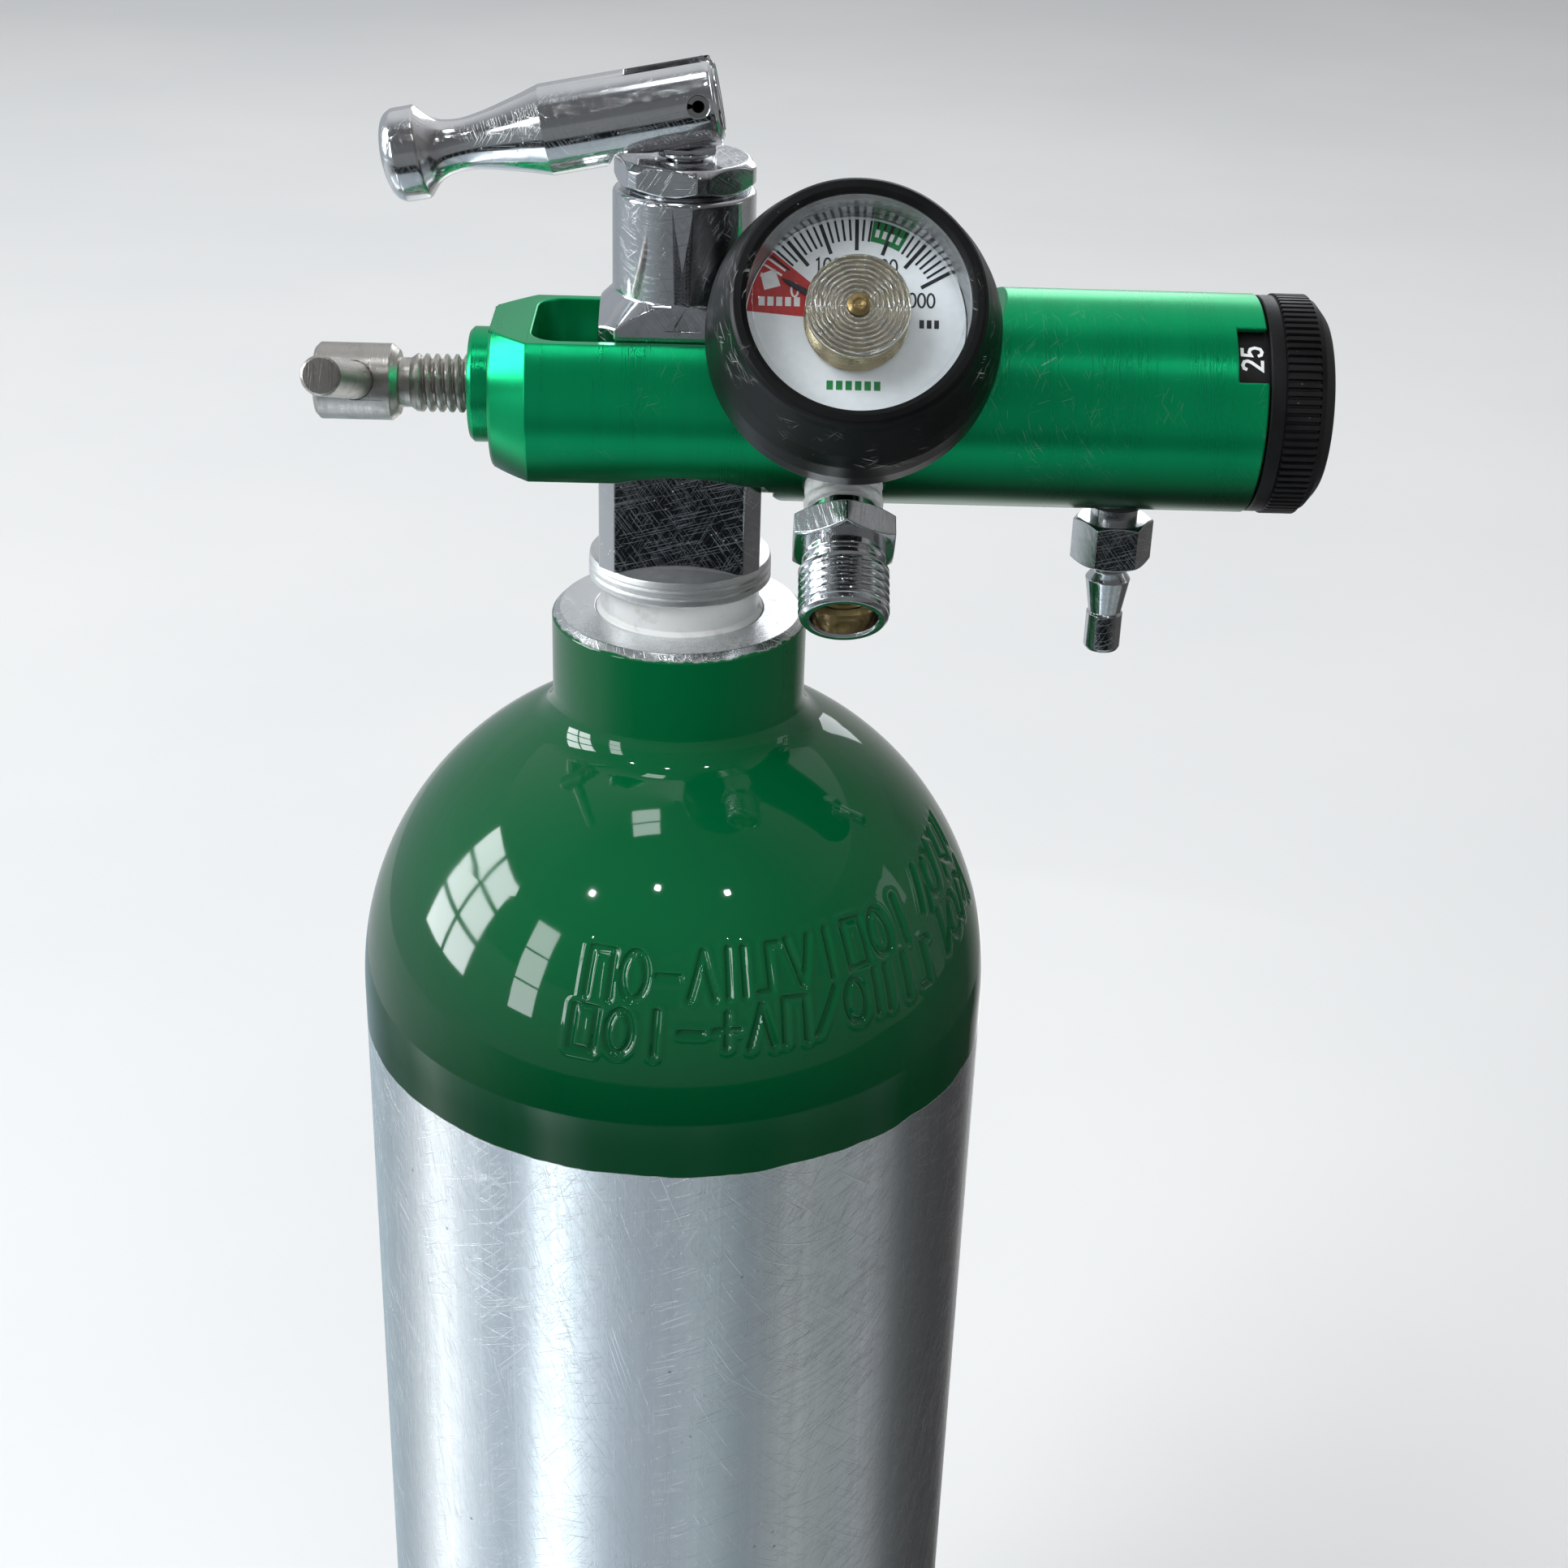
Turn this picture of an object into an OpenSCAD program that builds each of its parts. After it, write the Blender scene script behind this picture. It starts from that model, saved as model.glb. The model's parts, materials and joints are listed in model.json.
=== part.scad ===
/* [Bottle] */
// Outside diameter of the aluminium bottle
bottle_d = 111; // [108:0.5:114]
// Height of the bottle from its base to the neck's top face
bottle_h = 419; // [300:1:660]
// Thickness of the bottle's straight wall
bottle_wall = 5.2; // [4:0.1:7]
// Radius of the neck's straight side
neck_r = 21.4; // [20:0.1:24]

/* [Valve] */
// Height of the regulator's axis above the neck's top face
port_h = 37.7; // [36:0.1:42]
// Half the post's width along the regulator
post_half_x = 13.1; // [12.8:0.1:13.5]
// Half the post's depth across the regulator
post_half_y = 11.1; // [10.5:0.1:11.3]
// Radius of the round bonnet above the post
bonnet_r = 11.2; // [10.8:0.1:11.6]
// Angle of the closed toggle lever below the horizontal
lever_tilt = 11.3; // [8:0.1:14]
// Height of the lever's pin above the neck's top face
pin_h = 83.9; // [83:0.1:86]
// Offset of the lever's pin from the bottle's axis
pin_x = 2; // [1.5:0.1:2.2]

/* [Regulator] */
// Radius of the regulator's round body
body_r = 17.5; // [17:0.1:18]
// Distance from the bottle's axis to the body's right end
body_end = 91.4; // [88:0.1:96]
// Height of the yoke's top flat above the axis
top_flat = 11.1; // [10.8:0.1:12]
// Depth of the yoke's bottom flat below the axis
bottom_flat = 11.7; // [10.8:0.1:12]
// Distance from the bottle's axis to the gauge and outlet ports
ports_x = 26; // [25:0.1:27]
// Angle of the gauge's face above the horizontal
gauge_up = 35.7; // [30:0.1:45]
// Angle of the threaded outlet below the horizontal
outlet_down = 38.6; // [35:0.1:45]
// Distance from the bottle's axis to the hose barb
barb_x = 71.7; // [70:0.1:74]

/* [Controls] */
// Distance from the bottle's axis to the knob's end face
knob_end = 102.4; // [100:0.1:106]
// Radius of the knob over its ribs
knob_r = 17.6; // [17:0.1:18]
// Length of the tee handle's cross bar
bar_length = 76; // [50:1:80]
// Angle of the cross bar's front end above the horizontal
bar_up = 19; // [0:1:45]
// Pitch of the tee screw's thread
screw_pitch = 1.5875; // [1:0.01:2]
// Number of flow settings on the knob
settings = 12; // [8:1:12]

/* [Hidden] */

$fn = 64;
eps = 0.01;
run = 0.05;       // radial clearance of a running fit
gap = 0.3;        // clearance between pieces that pass each other
deep = 400;       // longer than any piece that is cut

port_z = bottle_h + port_h;
bottle_r = bottle_d / 2;
dome_z = bottle_h - 70.2;
neck_fillet = 6.9;
base_round = 9;
seal_z = bottle_h - 0.8;
flange_z = bottle_h + 5.6;
post_z = bottle_h + 10.2;
shoulder_z = bottle_h + 50.2;
bonnet_z = bottle_h + 54.5;
bonnet_top = bottle_h + 70.3;
nut_z = bottle_h + 70.8;
nut_top = bottle_h + 75.1;
stem_r = 3;
seat_z = bottle_h + 24;
chamber_top = bottle_h + 58;
dimple_r = 4;
dimple_depth = 3;
index_circle = 14.29;
index_angle = 18;
index_pin_r = 2;
relief_z = bottle_h + 16.5;

yoke_left = -30.3;
cone_right = -24.05;
cone_r = 13.3;
slot_left = -23.5;
slot_right = 14.9;
slot_half_y = 11.7;
bore_x = 49;
bore_r = 13;
drum_x = 85.6;
drum_bore_r = 16.1;
bushing_x = -33.9;
screw_r = 4.65;
hub_x = -58.6;
hub_end = -45.2;
hub_r = 6.1;
bar_r = 3;
bar_x = (hub_x + hub_end) / 2;
pad_r = 4.4;
knob_x = body_end + gap;

coil_r = 7.75;
coil_z = 34.9;
coil_h = 7.1;
dial_z = 33.6;
case_r = 17.3;
rim_r = 18.7;
boot_r = 22.3;
glass_z = 42.6;
zero_angle = 150;
outlet_r = 7.14;
outlet_end = 41.6;
mouth_r = 5.2;
mouth_z = 37.5;
retainer_r = 4.95;
retainer_z = 36.2;
outlet_hex = 15.875;
barb_hex = 11.7;

green = [0.02, 0.42, 0.2];
chrome = [0.78, 0.8, 0.82];
brass = [0.72, 0.56, 0.26];
steel = [0.55, 0.54, 0.52];
nylon = [0.86, 0.87, 0.86];
rubber = [0.08, 0.08, 0.08];

// Frames that the sub-assemblies are drawn in
module on_regulator() {
    // local +Z runs along the regulator, towards the knob
    translate([0, 0, port_z]) rotate([0, 90, 0]) children();
}

module on_gauge() {
    // local +Z points out of the gauge's face, local +Y up its dial
    translate([ports_x, 0, port_z]) rotate([90 - gauge_up, 0, 0]) children();
}

module on_outlet() {
    // local +Z points out of the outlet's mouth
    translate([ports_x, 0, port_z]) rotate([90 + outlet_down, 0, 0]) children();
}

module on_barb() {
    translate([barb_x, 0, bottle_h]) children();
}

module on_lever() {
    // local +X runs from the knob to the pin, with the pin at the origin
    translate([pin_x, 0, bottle_h + pin_h]) rotate([0, -lever_tilt, 0]) children();
}

// Shapes that repeat
module tube(outer, inner, length) {
    difference() {
        cylinder(r = outer, h = length);
        translate([0, 0, -eps]) cylinder(r = inner, h = length + 2 * eps);
    }
}

module ring(major, minor) {
    rotate_extrude() translate([major, 0]) circle(r = minor, $fn = 32);
}

module hexagon(across_flats, length, turn = 0) {
    // a nut's hexagon with its corners turned off at both ends
    corner = across_flats / sqrt(3);
    flat = across_flats / 2;
    cut = (corner - flat) * 0.6;
    intersection() {
        rotate(turn) cylinder(r = corner, h = length, $fn = 6);
        rotate_extrude() polygon([
            [0, 0], [flat, 0], [corner, cut], [corner, length - cut], [flat, length], [0, length]
        ]);
    }
}

module threaded(radius, pitch, turns, core = 0) {
    // a screw thread drawn as rings, one for each turn
    depth = pitch * 0.55;
    points = [
        for (i = [0 : turns - 1])
            each [
                [radius - depth, i * pitch], [radius, (i + 0.42) * pitch],
                [radius, (i + 0.58) * pitch], [radius - depth, (i + 1) * pitch]
            ]
    ];
    rotate_extrude() polygon(concat([[core, 0]], points, [[core, turns * pitch]]));
}

module coil_spring(radius, wire, length, turns) {
    sides = 6;
    steps = 14;
    rings = turns * steps;
    points = [
        for (i = [0 : rings])
            for (k = [0 : sides - 1])
                let (
                    turn = i * 360 / steps,
                    side = k * 360 / sides,
                    out = radius + wire * cos(side),
                    rise = wire + (length - 2 * wire) * i / rings
                )
                [out * cos(turn), out * sin(turn), rise + wire * sin(side)]
    ];
    walls = [
        for (i = [0 : rings - 1])
            for (k = [0 : sides - 1])
                let (a = i * sides + k, b = i * sides + (k + 1) % sides)
                each [[a, a + sides, b], [b, a + sides, b + sides]]
    ];
    first = [for (k = [0 : sides - 1]) k];
    last = [for (k = [0 : sides - 1]) rings * sides + sides - 1 - k];
    polyhedron(points = points, faces = concat([first], walls, [last]));
}

// Bottle
module bottle_outline(radius, z0, z1, corner) {
    // half of a round-shouldered section, from z0 up to a hemisphere that starts at z1
    translate([0, z0 + corner]) square([radius, z1 - z0 - corner]);
    translate([0, z0]) square([radius - corner, corner + eps]);
    intersection() {
        translate([radius - corner, z0 + corner]) circle(r = corner);
        translate([0, z0]) square([radius, corner + eps]);
    }
    intersection() {
        translate([0, z1]) circle(r = radius);
        translate([0, z1 - eps]) square(radius);
    }
}

module bottle() {
    fillet_x = neck_r + neck_fillet;
    fillet_z = dome_z + sqrt(pow(bottle_r + neck_fillet, 2) - pow(fillet_x, 2));
    contact_x = fillet_x * bottle_r / (bottle_r + neck_fillet);
    rim = 1.25;
    color(green) difference() {
        rotate_extrude($fn = 128) difference() {
            union() {
                bottle_outline(bottle_r, 0, dome_z, base_round);
                difference() {
                    translate([0, dome_z + 40]) square([contact_x, fillet_z - dome_z - 40]);
                    translate([fillet_x, fillet_z]) circle(r = neck_fillet);
                }
                polygon([
                    [0, fillet_z - eps], [neck_r, fillet_z - eps], [neck_r, bottle_h - 6],
                    [neck_r - rim, bottle_h], [0, bottle_h]
                ]);
            }
            bottle_outline(bottle_r - bottle_wall, bottle_wall + 2, dome_z, base_round);
            translate([0, dome_z]) square([9.55, deep]);
            translate([0, seal_z]) square([14.1, 2]);
        }
    }
}

// Valve
module neck_seal() {
    color(nylon) translate([0, 0, seal_z]) rotate_extrude() polygon([
        [9.6, 0], [14, 0], [14, 0.9], [13.3, 1.5], [13.3, flange_z - seal_z], [9.6, flange_z - seal_z]
    ]);
}

module post_block() {
    // the rectangular post with its long corners cut off and its top turned to a cone
    chamfer = 2.7;
    x1 = post_half_x;
    y1 = post_half_y;
    intersection() {
        translate([0, 0, post_z - 1]) linear_extrude(height = bonnet_z - post_z + 1) polygon([
            [-x1, -y1 + chamfer], [-x1 + chamfer, -y1], [x1 - chamfer, -y1], [x1, -y1 + chamfer],
            [x1, y1 - chamfer], [x1 - chamfer, y1], [-x1 + chamfer, y1], [-x1, y1 - chamfer]
        ]);
        rotate_extrude() polygon([
            [0, post_z - 1], [20, post_z - 1], [20, shoulder_z - 4.3], [bonnet_r, bonnet_z], [0, bonnet_z]
        ]);
    }
}

module post_ports() {
    translate([0, 0, port_z]) rotate([0, 90, 0]) cylinder(r = 1.8, h = post_half_x);
    translate([post_half_x - 3, 0, port_z]) rotate([0, 90, 0]) cylinder(r = 3.35, h = 3 + eps);
    translate([-post_half_x - eps, 0, port_z]) rotate([0, 90, 0])
        cylinder(r1 = dimple_r + eps, r2 = 0.8, h = dimple_depth);
    for (side = [-1, 1])
        translate([post_half_x - 5.5, 0, port_z]) rotate([180 + side * index_angle, 0, 0])
            translate([0, 0, index_circle]) rotate([0, 90, 0]) cylinder(r = 2.38, h = 5.5 + eps);
}

module valve_body() {
    groove = 0.35;
    color(chrome) difference() {
        union() {
            rotate_extrude() polygon([
                [0, bottle_h - 20], [8.4, bottle_h - 20], [9.4, bottle_h - 19], [9.4, seal_z + 0.8],
                [9.4, flange_z], [14.8, flange_z], [15.15, flange_z + 0.5], [15.15, flange_z + 1.4],
                [15.15 - groove, flange_z + 1.7], [15.15, flange_z + 2], [15.15, flange_z + 2.8],
                [15.15 - groove, flange_z + 3.1], [15.15, flange_z + 3.4], [14.9, post_z],
                [bonnet_r, post_z + 0.8], [0, post_z + 0.8]
            ]);
            post_block();
            translate([0, 0, bonnet_z - eps]) rotate_extrude() polygon([
                [0, 0], [bonnet_r, 0], [bonnet_r, bonnet_top - bonnet_z - 0.7],
                [bonnet_r - 0.7, bonnet_top - bonnet_z], [0, bonnet_top - bonnet_z]
            ]);
        }
        translate([0, 0, bottle_h - 21]) cylinder(r = 2.6, h = 12);
        translate([0, 0, bottle_h - 10]) cylinder(r = 1.6, h = seat_z - bottle_h + 11);
        translate([0, 0, seat_z]) cylinder(r = 5.4, h = chamber_top - seat_z);
        translate([0, 0, chamber_top - eps]) cylinder(r = 8.5, h = deep);
        translate([0, 0, relief_z]) rotate([-90, 0, 0]) cylinder(r = 1.5, h = post_half_y);
        translate([0, post_half_y - 6, relief_z]) rotate([-90, 0, 0]) cylinder(r = 4.2, h = 7);
        post_ports();
    }
}

module debris_tube() {
    color(brass) translate([0, 0, bottle_h - 66]) tube(2.58, 1.7, 56);
}

module packing_washer() {
    color(brass) translate([0, 0, chamber_top]) tube(8.45, stem_r + run, 1.2);
}

module stem_packing() {
    color(nylon) translate([0, 0, chamber_top + 1.2]) tube(8.45, stem_r + run, 2.8);
}

module gland_nut() {
    nut_h = nut_top - nut_z;
    shank_z = chamber_top + 4;
    color(chrome) difference() {
        union() {
            translate([0, 0, shank_z]) cylinder(r = 8.45, h = nut_z - shank_z);
            intersection() {
                translate([0, 0, nut_z - eps]) hexagon(20.4, nut_h, -15);
                translate([0, 0, nut_z - 1]) cylinder(r = bonnet_r, h = nut_h + 2);
            }
        }
        translate([0, 0, shank_z - eps]) cylinder(r = stem_r + run, h = deep);
    }
}

module valve_stem() {
    disc_z = nut_top + gap;
    tab_x0 = -3.1;
    tab_x1 = 4.8;
    color(chrome) difference() {
        union() {
            translate([0, 0, seat_z + 3]) cylinder(r = 4.6, h = 2);
            translate([0, 0, seat_z + 4]) cylinder(r = stem_r, h = disc_z - seat_z - 4);
            translate([0, 0, disc_z]) cylinder(r = 4.35, h = 0.6);
            translate([tab_x0, -2, disc_z]) cube([tab_x1 - tab_x0, 4, bottle_h + pin_h - disc_z]);
            translate([pin_x, 2, bottle_h + pin_h]) rotate([90, 0, 0]) cylinder(r = tab_x1 - pin_x, h = 4);
        }
        translate([pin_x, 3, bottle_h + pin_h]) rotate([90, 0, 0]) cylinder(r = 1.65 + run, h = 6);
        translate([tab_x0 - 1, -3, bottle_h + pin_h]) cube([pin_x - tab_x0 - 1.8, 6, 4]);
    }
}

module valve_seat() {
    color(nylon) translate([0, 0, seat_z]) cylinder(r = 4.6, h = 3);
}

module stem_spring() {
    color(steel) translate([0, 0, seat_z + 5.1]) coil_spring(4, 0.5, chamber_top - seat_z - 5.2, 8);
}

module lever_section() {
    // half of the lever's turned outline, from the knob's nose to the fork's end
    end_x = 3.2;
    polygon([
        [-49.6, 0], [-49.5, 2], [-48.9, 4], [-47.7, 5.8], [-46.1, 6.8], [-44.4, 7.1], [-42.8, 6.9],
        [-42, 6.2], [-40.8, 5], [-39.2, 4.2], [-37.2, 3.95], [-34.8, 4.15], [-32, 4.7], [-28, 5.7],
        [-24.3, 6.7], [-23.3, 6.9], [end_x - 1.6, 6.9], [end_x - 0.5, 6.3], [end_x, 5.2], [end_x, 0]
    ]);
}

module toggle_lever() {
    axis_drop = 0.8;
    slot = 4.4;
    color(chrome) difference() {
        on_lever() translate([0, 0, -axis_drop]) rotate([0, 90, 0]) rotate_extrude()
            rotate(90) mirror([0, 1]) lever_section();
        on_lever() translate([-10.4, -slot / 2, -12]) cube([20, slot, 24]);
        on_lever() rotate([90, 0, 0]) translate([0, 0, -10]) cylinder(r = 1.65, h = 20);
        // the hollow that clears the nut while the lever lies closed
        translate([-2, 8, nut_top - 9]) rotate([90, 0, 0]) cylinder(r = 10.6, h = 16, $fn = 96);
        translate([0, 0, nut_top - 8]) cylinder(r = bonnet_r + 0.6, h = 9.2);
    }
}

module lever_pin() {
    color(steel) on_lever() rotate([90, 0, 0]) translate([0, 0, -6.6]) tube(1.65, 0.9, 13.2);
}

module relief_plug() {
    color(brass) translate([0, post_half_y - 4.2, relief_z]) rotate([-90, 0, 0]) difference() {
        union() {
            cylinder(r = 4.15, h = 4.2);
            translate([0, 0, 4.2]) hexagon(9.5, 4);
        }
        translate([0, 0, -eps]) cylinder(r = 1.2, h = 6.5);
        for (turn = [0 : 60 : 120])
            rotate([90, 0, turn]) translate([0, 6.2, -8]) cylinder(r = 0.8, h = 16);
    }
}

module relief_disc() {
    color(brass) translate([0, post_half_y - 5.9, relief_z]) rotate([-90, 0, 0]) cylinder(r = 4, h = 1.6);
}

// Regulator
module yoke_washer() {
    color(nylon) translate([post_half_x, 0, port_z]) rotate([0, 90, 0])
        tube(6.2, 3.1, slot_right - post_half_x);
}

module flat_cut(right, height) {
    // the wedge that a yoke's flat and its sloping end remove
    run_out = 3.6;
    translate([0, 30, 0]) rotate([90, 0, 0]) linear_extrude(height = 60) polygon([
        [-40, height], [right, height], [right + run_out, body_r + 0.2], [right + run_out, 30], [-40, 30]
    ]);
}

module yoke_slot() {
    corner = 4.5;
    translate([0, 0, -30]) linear_extrude(height = 60) union() {
        translate([slot_left + corner, -slot_half_y])
            square([slot_right - slot_left - corner, 2 * slot_half_y]);
        translate([slot_left, -slot_half_y + corner]) square([2 * corner, 2 * (slot_half_y - corner)]);
        for (side = [-1, 1])
            translate([slot_left + corner, side * (slot_half_y - corner)]) circle(r = corner);
    }
}

module along(x0, radius, length) {
    translate([x0, 0, 0]) rotate([0, 90, 0]) cylinder(r = radius, h = length);
}

module body_window() {
    // the notch in the body's end that shows the flow figure
    window_up = 44;
    half = 4.6;
    rotate([-window_up, 0, 0]) translate([86.6, -body_r - 5, -half])
        cube([20, 12, 2 * half]);
}

module regulator_body() {
    passage = 15.1;
    color(green) translate([0, 0, port_z]) difference() {
        rotate([0, 90, 0]) rotate_extrude($fn = 128) polygon([
            [0, yoke_left], [cone_r - 0.6, yoke_left], [cone_r, yoke_left + 0.5], [body_r, cone_right],
            [body_r, body_end - 0.3], [body_r - 0.3, body_end], [0, body_end]
        ]);
        flat_cut(47.5, top_flat);
        mirror([0, 0, 1]) flat_cut(13.3, bottom_flat);
        yoke_slot();
        translate([0, 0, -bottom_flat - eps]) cylinder(r1 = 16.6, r2 = 11, h = 4);
        along(yoke_left - 1, 7.2, 12);
        along(slot_right - 1, 5.5, 7.2);
        along(20, 3, 30);
        along(40, 4, bore_x - 39);
        along(bore_x, bore_r, deep);
        along(84.3, 14, 1.3);
        along(drum_x, drum_bore_r, deep);
        for (side = [-1, 1])
            rotate([180 + side * index_angle, 0, 0]) translate([0, 0, index_circle])
                along(slot_right - 1, index_pin_r, 10);
        translate([ports_x, 0, 0]) rotate([90 - gauge_up, 0, 0]) {
            translate([0, 0, 9]) cylinder(r = 5, h = 20);
            cylinder(r = 1.2, h = 12);
            translate([0, 0, 16.4]) cylinder(r = 7.6, h = 10);
        }
        translate([ports_x, 0, 0]) rotate([90 + outlet_down, 0, 0]) {
            translate([0, 0, 10]) cylinder(r = 4.9, h = 20);
            translate([0, 0, 16.2]) cylinder(r = 6.4, h = 10);
        }
        rotate([90 + outlet_down, 0, 0]) translate([0, 0, passage]) along(ports_x, 0.9, 34.5);
        translate([60.2, 0, 0]) rotate([90 + outlet_down, 0, 0]) cylinder(r = 0.9, h = passage);
        translate([barb_x, 0, -30]) cylinder(r = 3.9, h = 30);
        translate([barb_x, 0, -18]) cylinder(r = 5, h = 1.6);
        body_window();
    }
}

module screw_bushing() {
    length = slot_left - bushing_x;
    color(green) on_regulator() translate([0, 0, bushing_x]) difference() {
        union() {
            rotate_extrude() polygon([
                [0, 0], [8.5, 0], [9.2, 0.7], [9.2, yoke_left - bushing_x], [0, yoke_left - bushing_x]
            ]);
            cylinder(r = 7.2, h = length);
        }
        translate([0, 0, -eps]) cylinder(r = screw_r + run, h = length + 1);
        translate([0, 0, length - 4]) cylinder(r = pad_r + 0.1, h = 5);
    }
}

module tee_screw() {
    thread_x = -42.4;
    thread_turns = 15;
    tip_x = thread_x + thread_turns * screw_pitch;
    color(steel) on_regulator() difference() {
        union() {
            translate([0, 0, hub_x]) rotate_extrude() polygon([
                [0, 0], [hub_r - 0.8, 0], [hub_r, 0.8], [hub_r, hub_end - hub_x - 1.2],
                [hub_r - 1, hub_end - hub_x], [0, hub_end - hub_x]
            ]);
            translate([0, 0, hub_end - 1]) cylinder(r = 3.95, h = thread_x - hub_end + 2);
            translate([0, 0, thread_x]) threaded(screw_r, screw_pitch, thread_turns);
            translate([0, 0, tip_x - eps]) cylinder(r = 1.9, h = -17.3 - tip_x);
        }
        translate([0, 0, bar_x]) rotate([-90, 0, 0]) rotate([0, bar_up, 0]) translate([0, 0, -10])
            cylinder(r = bar_r, h = 20);
    }
}

module tee_bar() {
    half = bar_length / 2;
    color(steel) on_regulator() translate([0, 0, bar_x]) rotate([-90, 0, 0]) rotate([0, bar_up, 0])
        rotate_extrude() polygon([
            [0, -half], [bar_r - 0.4, -half], [bar_r, -half + 0.4], [bar_r, half - 0.4],
            [bar_r - 0.4, half], [0, half]
        ]);
}

module clamp_pad() {
    // the swivelling nose that seats in the post's dimple
    back = -18.3;
    color(steel) on_regulator() difference() {
        rotate_extrude() polygon([
            [0, back], [pad_r - 0.6, back], [pad_r, back + 0.6], [pad_r, -post_half_x - 0.6],
            [dimple_r - 0.6, -post_half_x - 0.1], [1, -post_half_x + dimple_depth - 0.4],
            [0, -post_half_x + dimple_depth - 0.4]
        ]);
        translate([0, 0, back - eps]) cylinder(r = 1.9 + run, h = 1.2);
    }
}

module inlet_nipple() {
    color(brass) on_regulator() difference() {
        union() {
            translate([0, 0, post_half_x - 1.5]) cylinder(r = 3, h = 4);
            translate([0, 0, slot_right]) cylinder(r = 5.5, h = 6.2);
        }
        translate([0, 0, post_half_x - 2]) cylinder(r = 1.2, h = 12);
        translate([0, 0, slot_right + 1.8]) cylinder(r = 2.6, h = 6);
    }
}

module inlet_filter() {
    color(brass) on_regulator() translate([0, 0, slot_right + 2]) cylinder(r = 2.6, h = 4);
}

module index_pins() {
    color(steel) translate([0, 0, port_z])
        for (side = [-1, 1])
            rotate([180 + side * index_angle, 0, 0]) translate([0, 0, index_circle])
                translate([post_half_x - 4.6, 0, 0]) rotate([0, 90, 0]) rotate_extrude() polygon([
                    [0, 0], [index_pin_r - 0.5, 0], [index_pin_r, 0.6], [index_pin_r, 15], [0, 15]
                ]);
}

module pressure_seat() {
    color(nylon) on_regulator() translate([0, 0, 40]) tube(4, 1.5, 2);
}

module piston() {
    color(brass) on_regulator() difference() {
        rotate_extrude() polygon([
            [0, 43], [2.4, 43], [3.94, 44.2], [3.94, 45.8], [3.2, 45.8], [3.2, 47.2], [3.94, 47.2],
            [3.94, 55], [12.93, 55], [12.93, 56], [11.2, 56], [11.2, 58], [12.93, 58], [12.93, 59.4],
            [0, 59.4]
        ]);
        translate([0, 0, 50]) cylinder(r = 1, h = 12);
        translate([0, -8, 51]) rotate([-90, 0, 0]) cylinder(r = 0.8, h = 8);
    }
}

module piston_seals() {
    color(rubber) on_regulator() {
        translate([0, 0, 46.5]) ring(3.56, 0.35);
        translate([0, 0, 57]) ring(12.1, 0.85);
    }
}

module piston_spring() {
    color(steel) on_regulator() translate([0, 0, bore_x + 0.1]) coil_spring(7.5, 0.9, 5.8, 2);
}

module flow_core() {
    color("silver") on_regulator() difference() {
        translate([0, 0, 61]) rotate_extrude() polygon([
            [0, 0], [bore_r, 0], [bore_r, 2], [11.4, 2], [11.4, 4], [bore_r, 4], [bore_r, 17], [0, 17]
        ]);
        translate([0, 0, 60]) cylinder(r = 1.5, h = 20);
        translate([4.5, 0, 75]) cylinder(r = 1, h = 4);
        translate([7.5, 0, barb_x]) rotate([0, 90, 0]) cylinder(r = 3.9, h = 10);
        translate([0, 0, barb_x]) rotate([0, 90, 0]) cylinder(r = 1, h = 10);
        translate([-9, 0, 72]) cylinder(r = 1.55, h = 8);
    }
}

module core_seal() {
    color(rubber) on_regulator() translate([0, 0, 64]) ring(12.15, 0.75);
}

module orifice_disc() {
    // the disc whose graded holes set the flow, with a track for the detent ball
    color(brass) on_regulator() translate([0, 0, 78 + gap]) difference() {
        cylinder(r = 11.6, h = 2.2);
        for (i = [0 : settings - 1])
            rotate(i * 30) translate([4.5, 0, -eps]) cylinder(r = 0.2 + 0.04 * i, h = 3);
        rotate_extrude() translate([9, 0]) circle(r = 1.1, $fn = 32);
        for (i = [0 : settings - 1])
            rotate(i * 30) translate([9, 0, -0.3]) sphere(r = 1.7, $fn = 32);
    }
}

module detent_ball() {
    color(steel) on_regulator() translate([-9, 0, 77.2]) sphere(r = 1.5, $fn = 32);
}

module detent_spring() {
    color(steel) on_regulator() translate([-9, 0, 72.05]) coil_spring(0.95, 0.25, 3.5, 4);
}

module bearing_plate() {
    color("silver") on_regulator() translate([0, 0, 81]) tube(bore_r, 3 + run, 3.2);
}

module retaining_ring() {
    color(steel) on_regulator() translate([0, 0, 84.3]) difference() {
        tube(13.9, 11.8, 1.2);
        translate([-3, 8, -1]) cube([6, 10, 4]);
    }
}

module flow_dial() {
    color(rubber) on_regulator() translate([0, 0, drum_x + gap]) difference() {
        cylinder(r = drum_bore_r - gap, h = knob_x - drum_x - gap + 1.5);
        translate([0, 0, -eps]) cylinder(r = 14.6, h = deep);
    }
}

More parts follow.
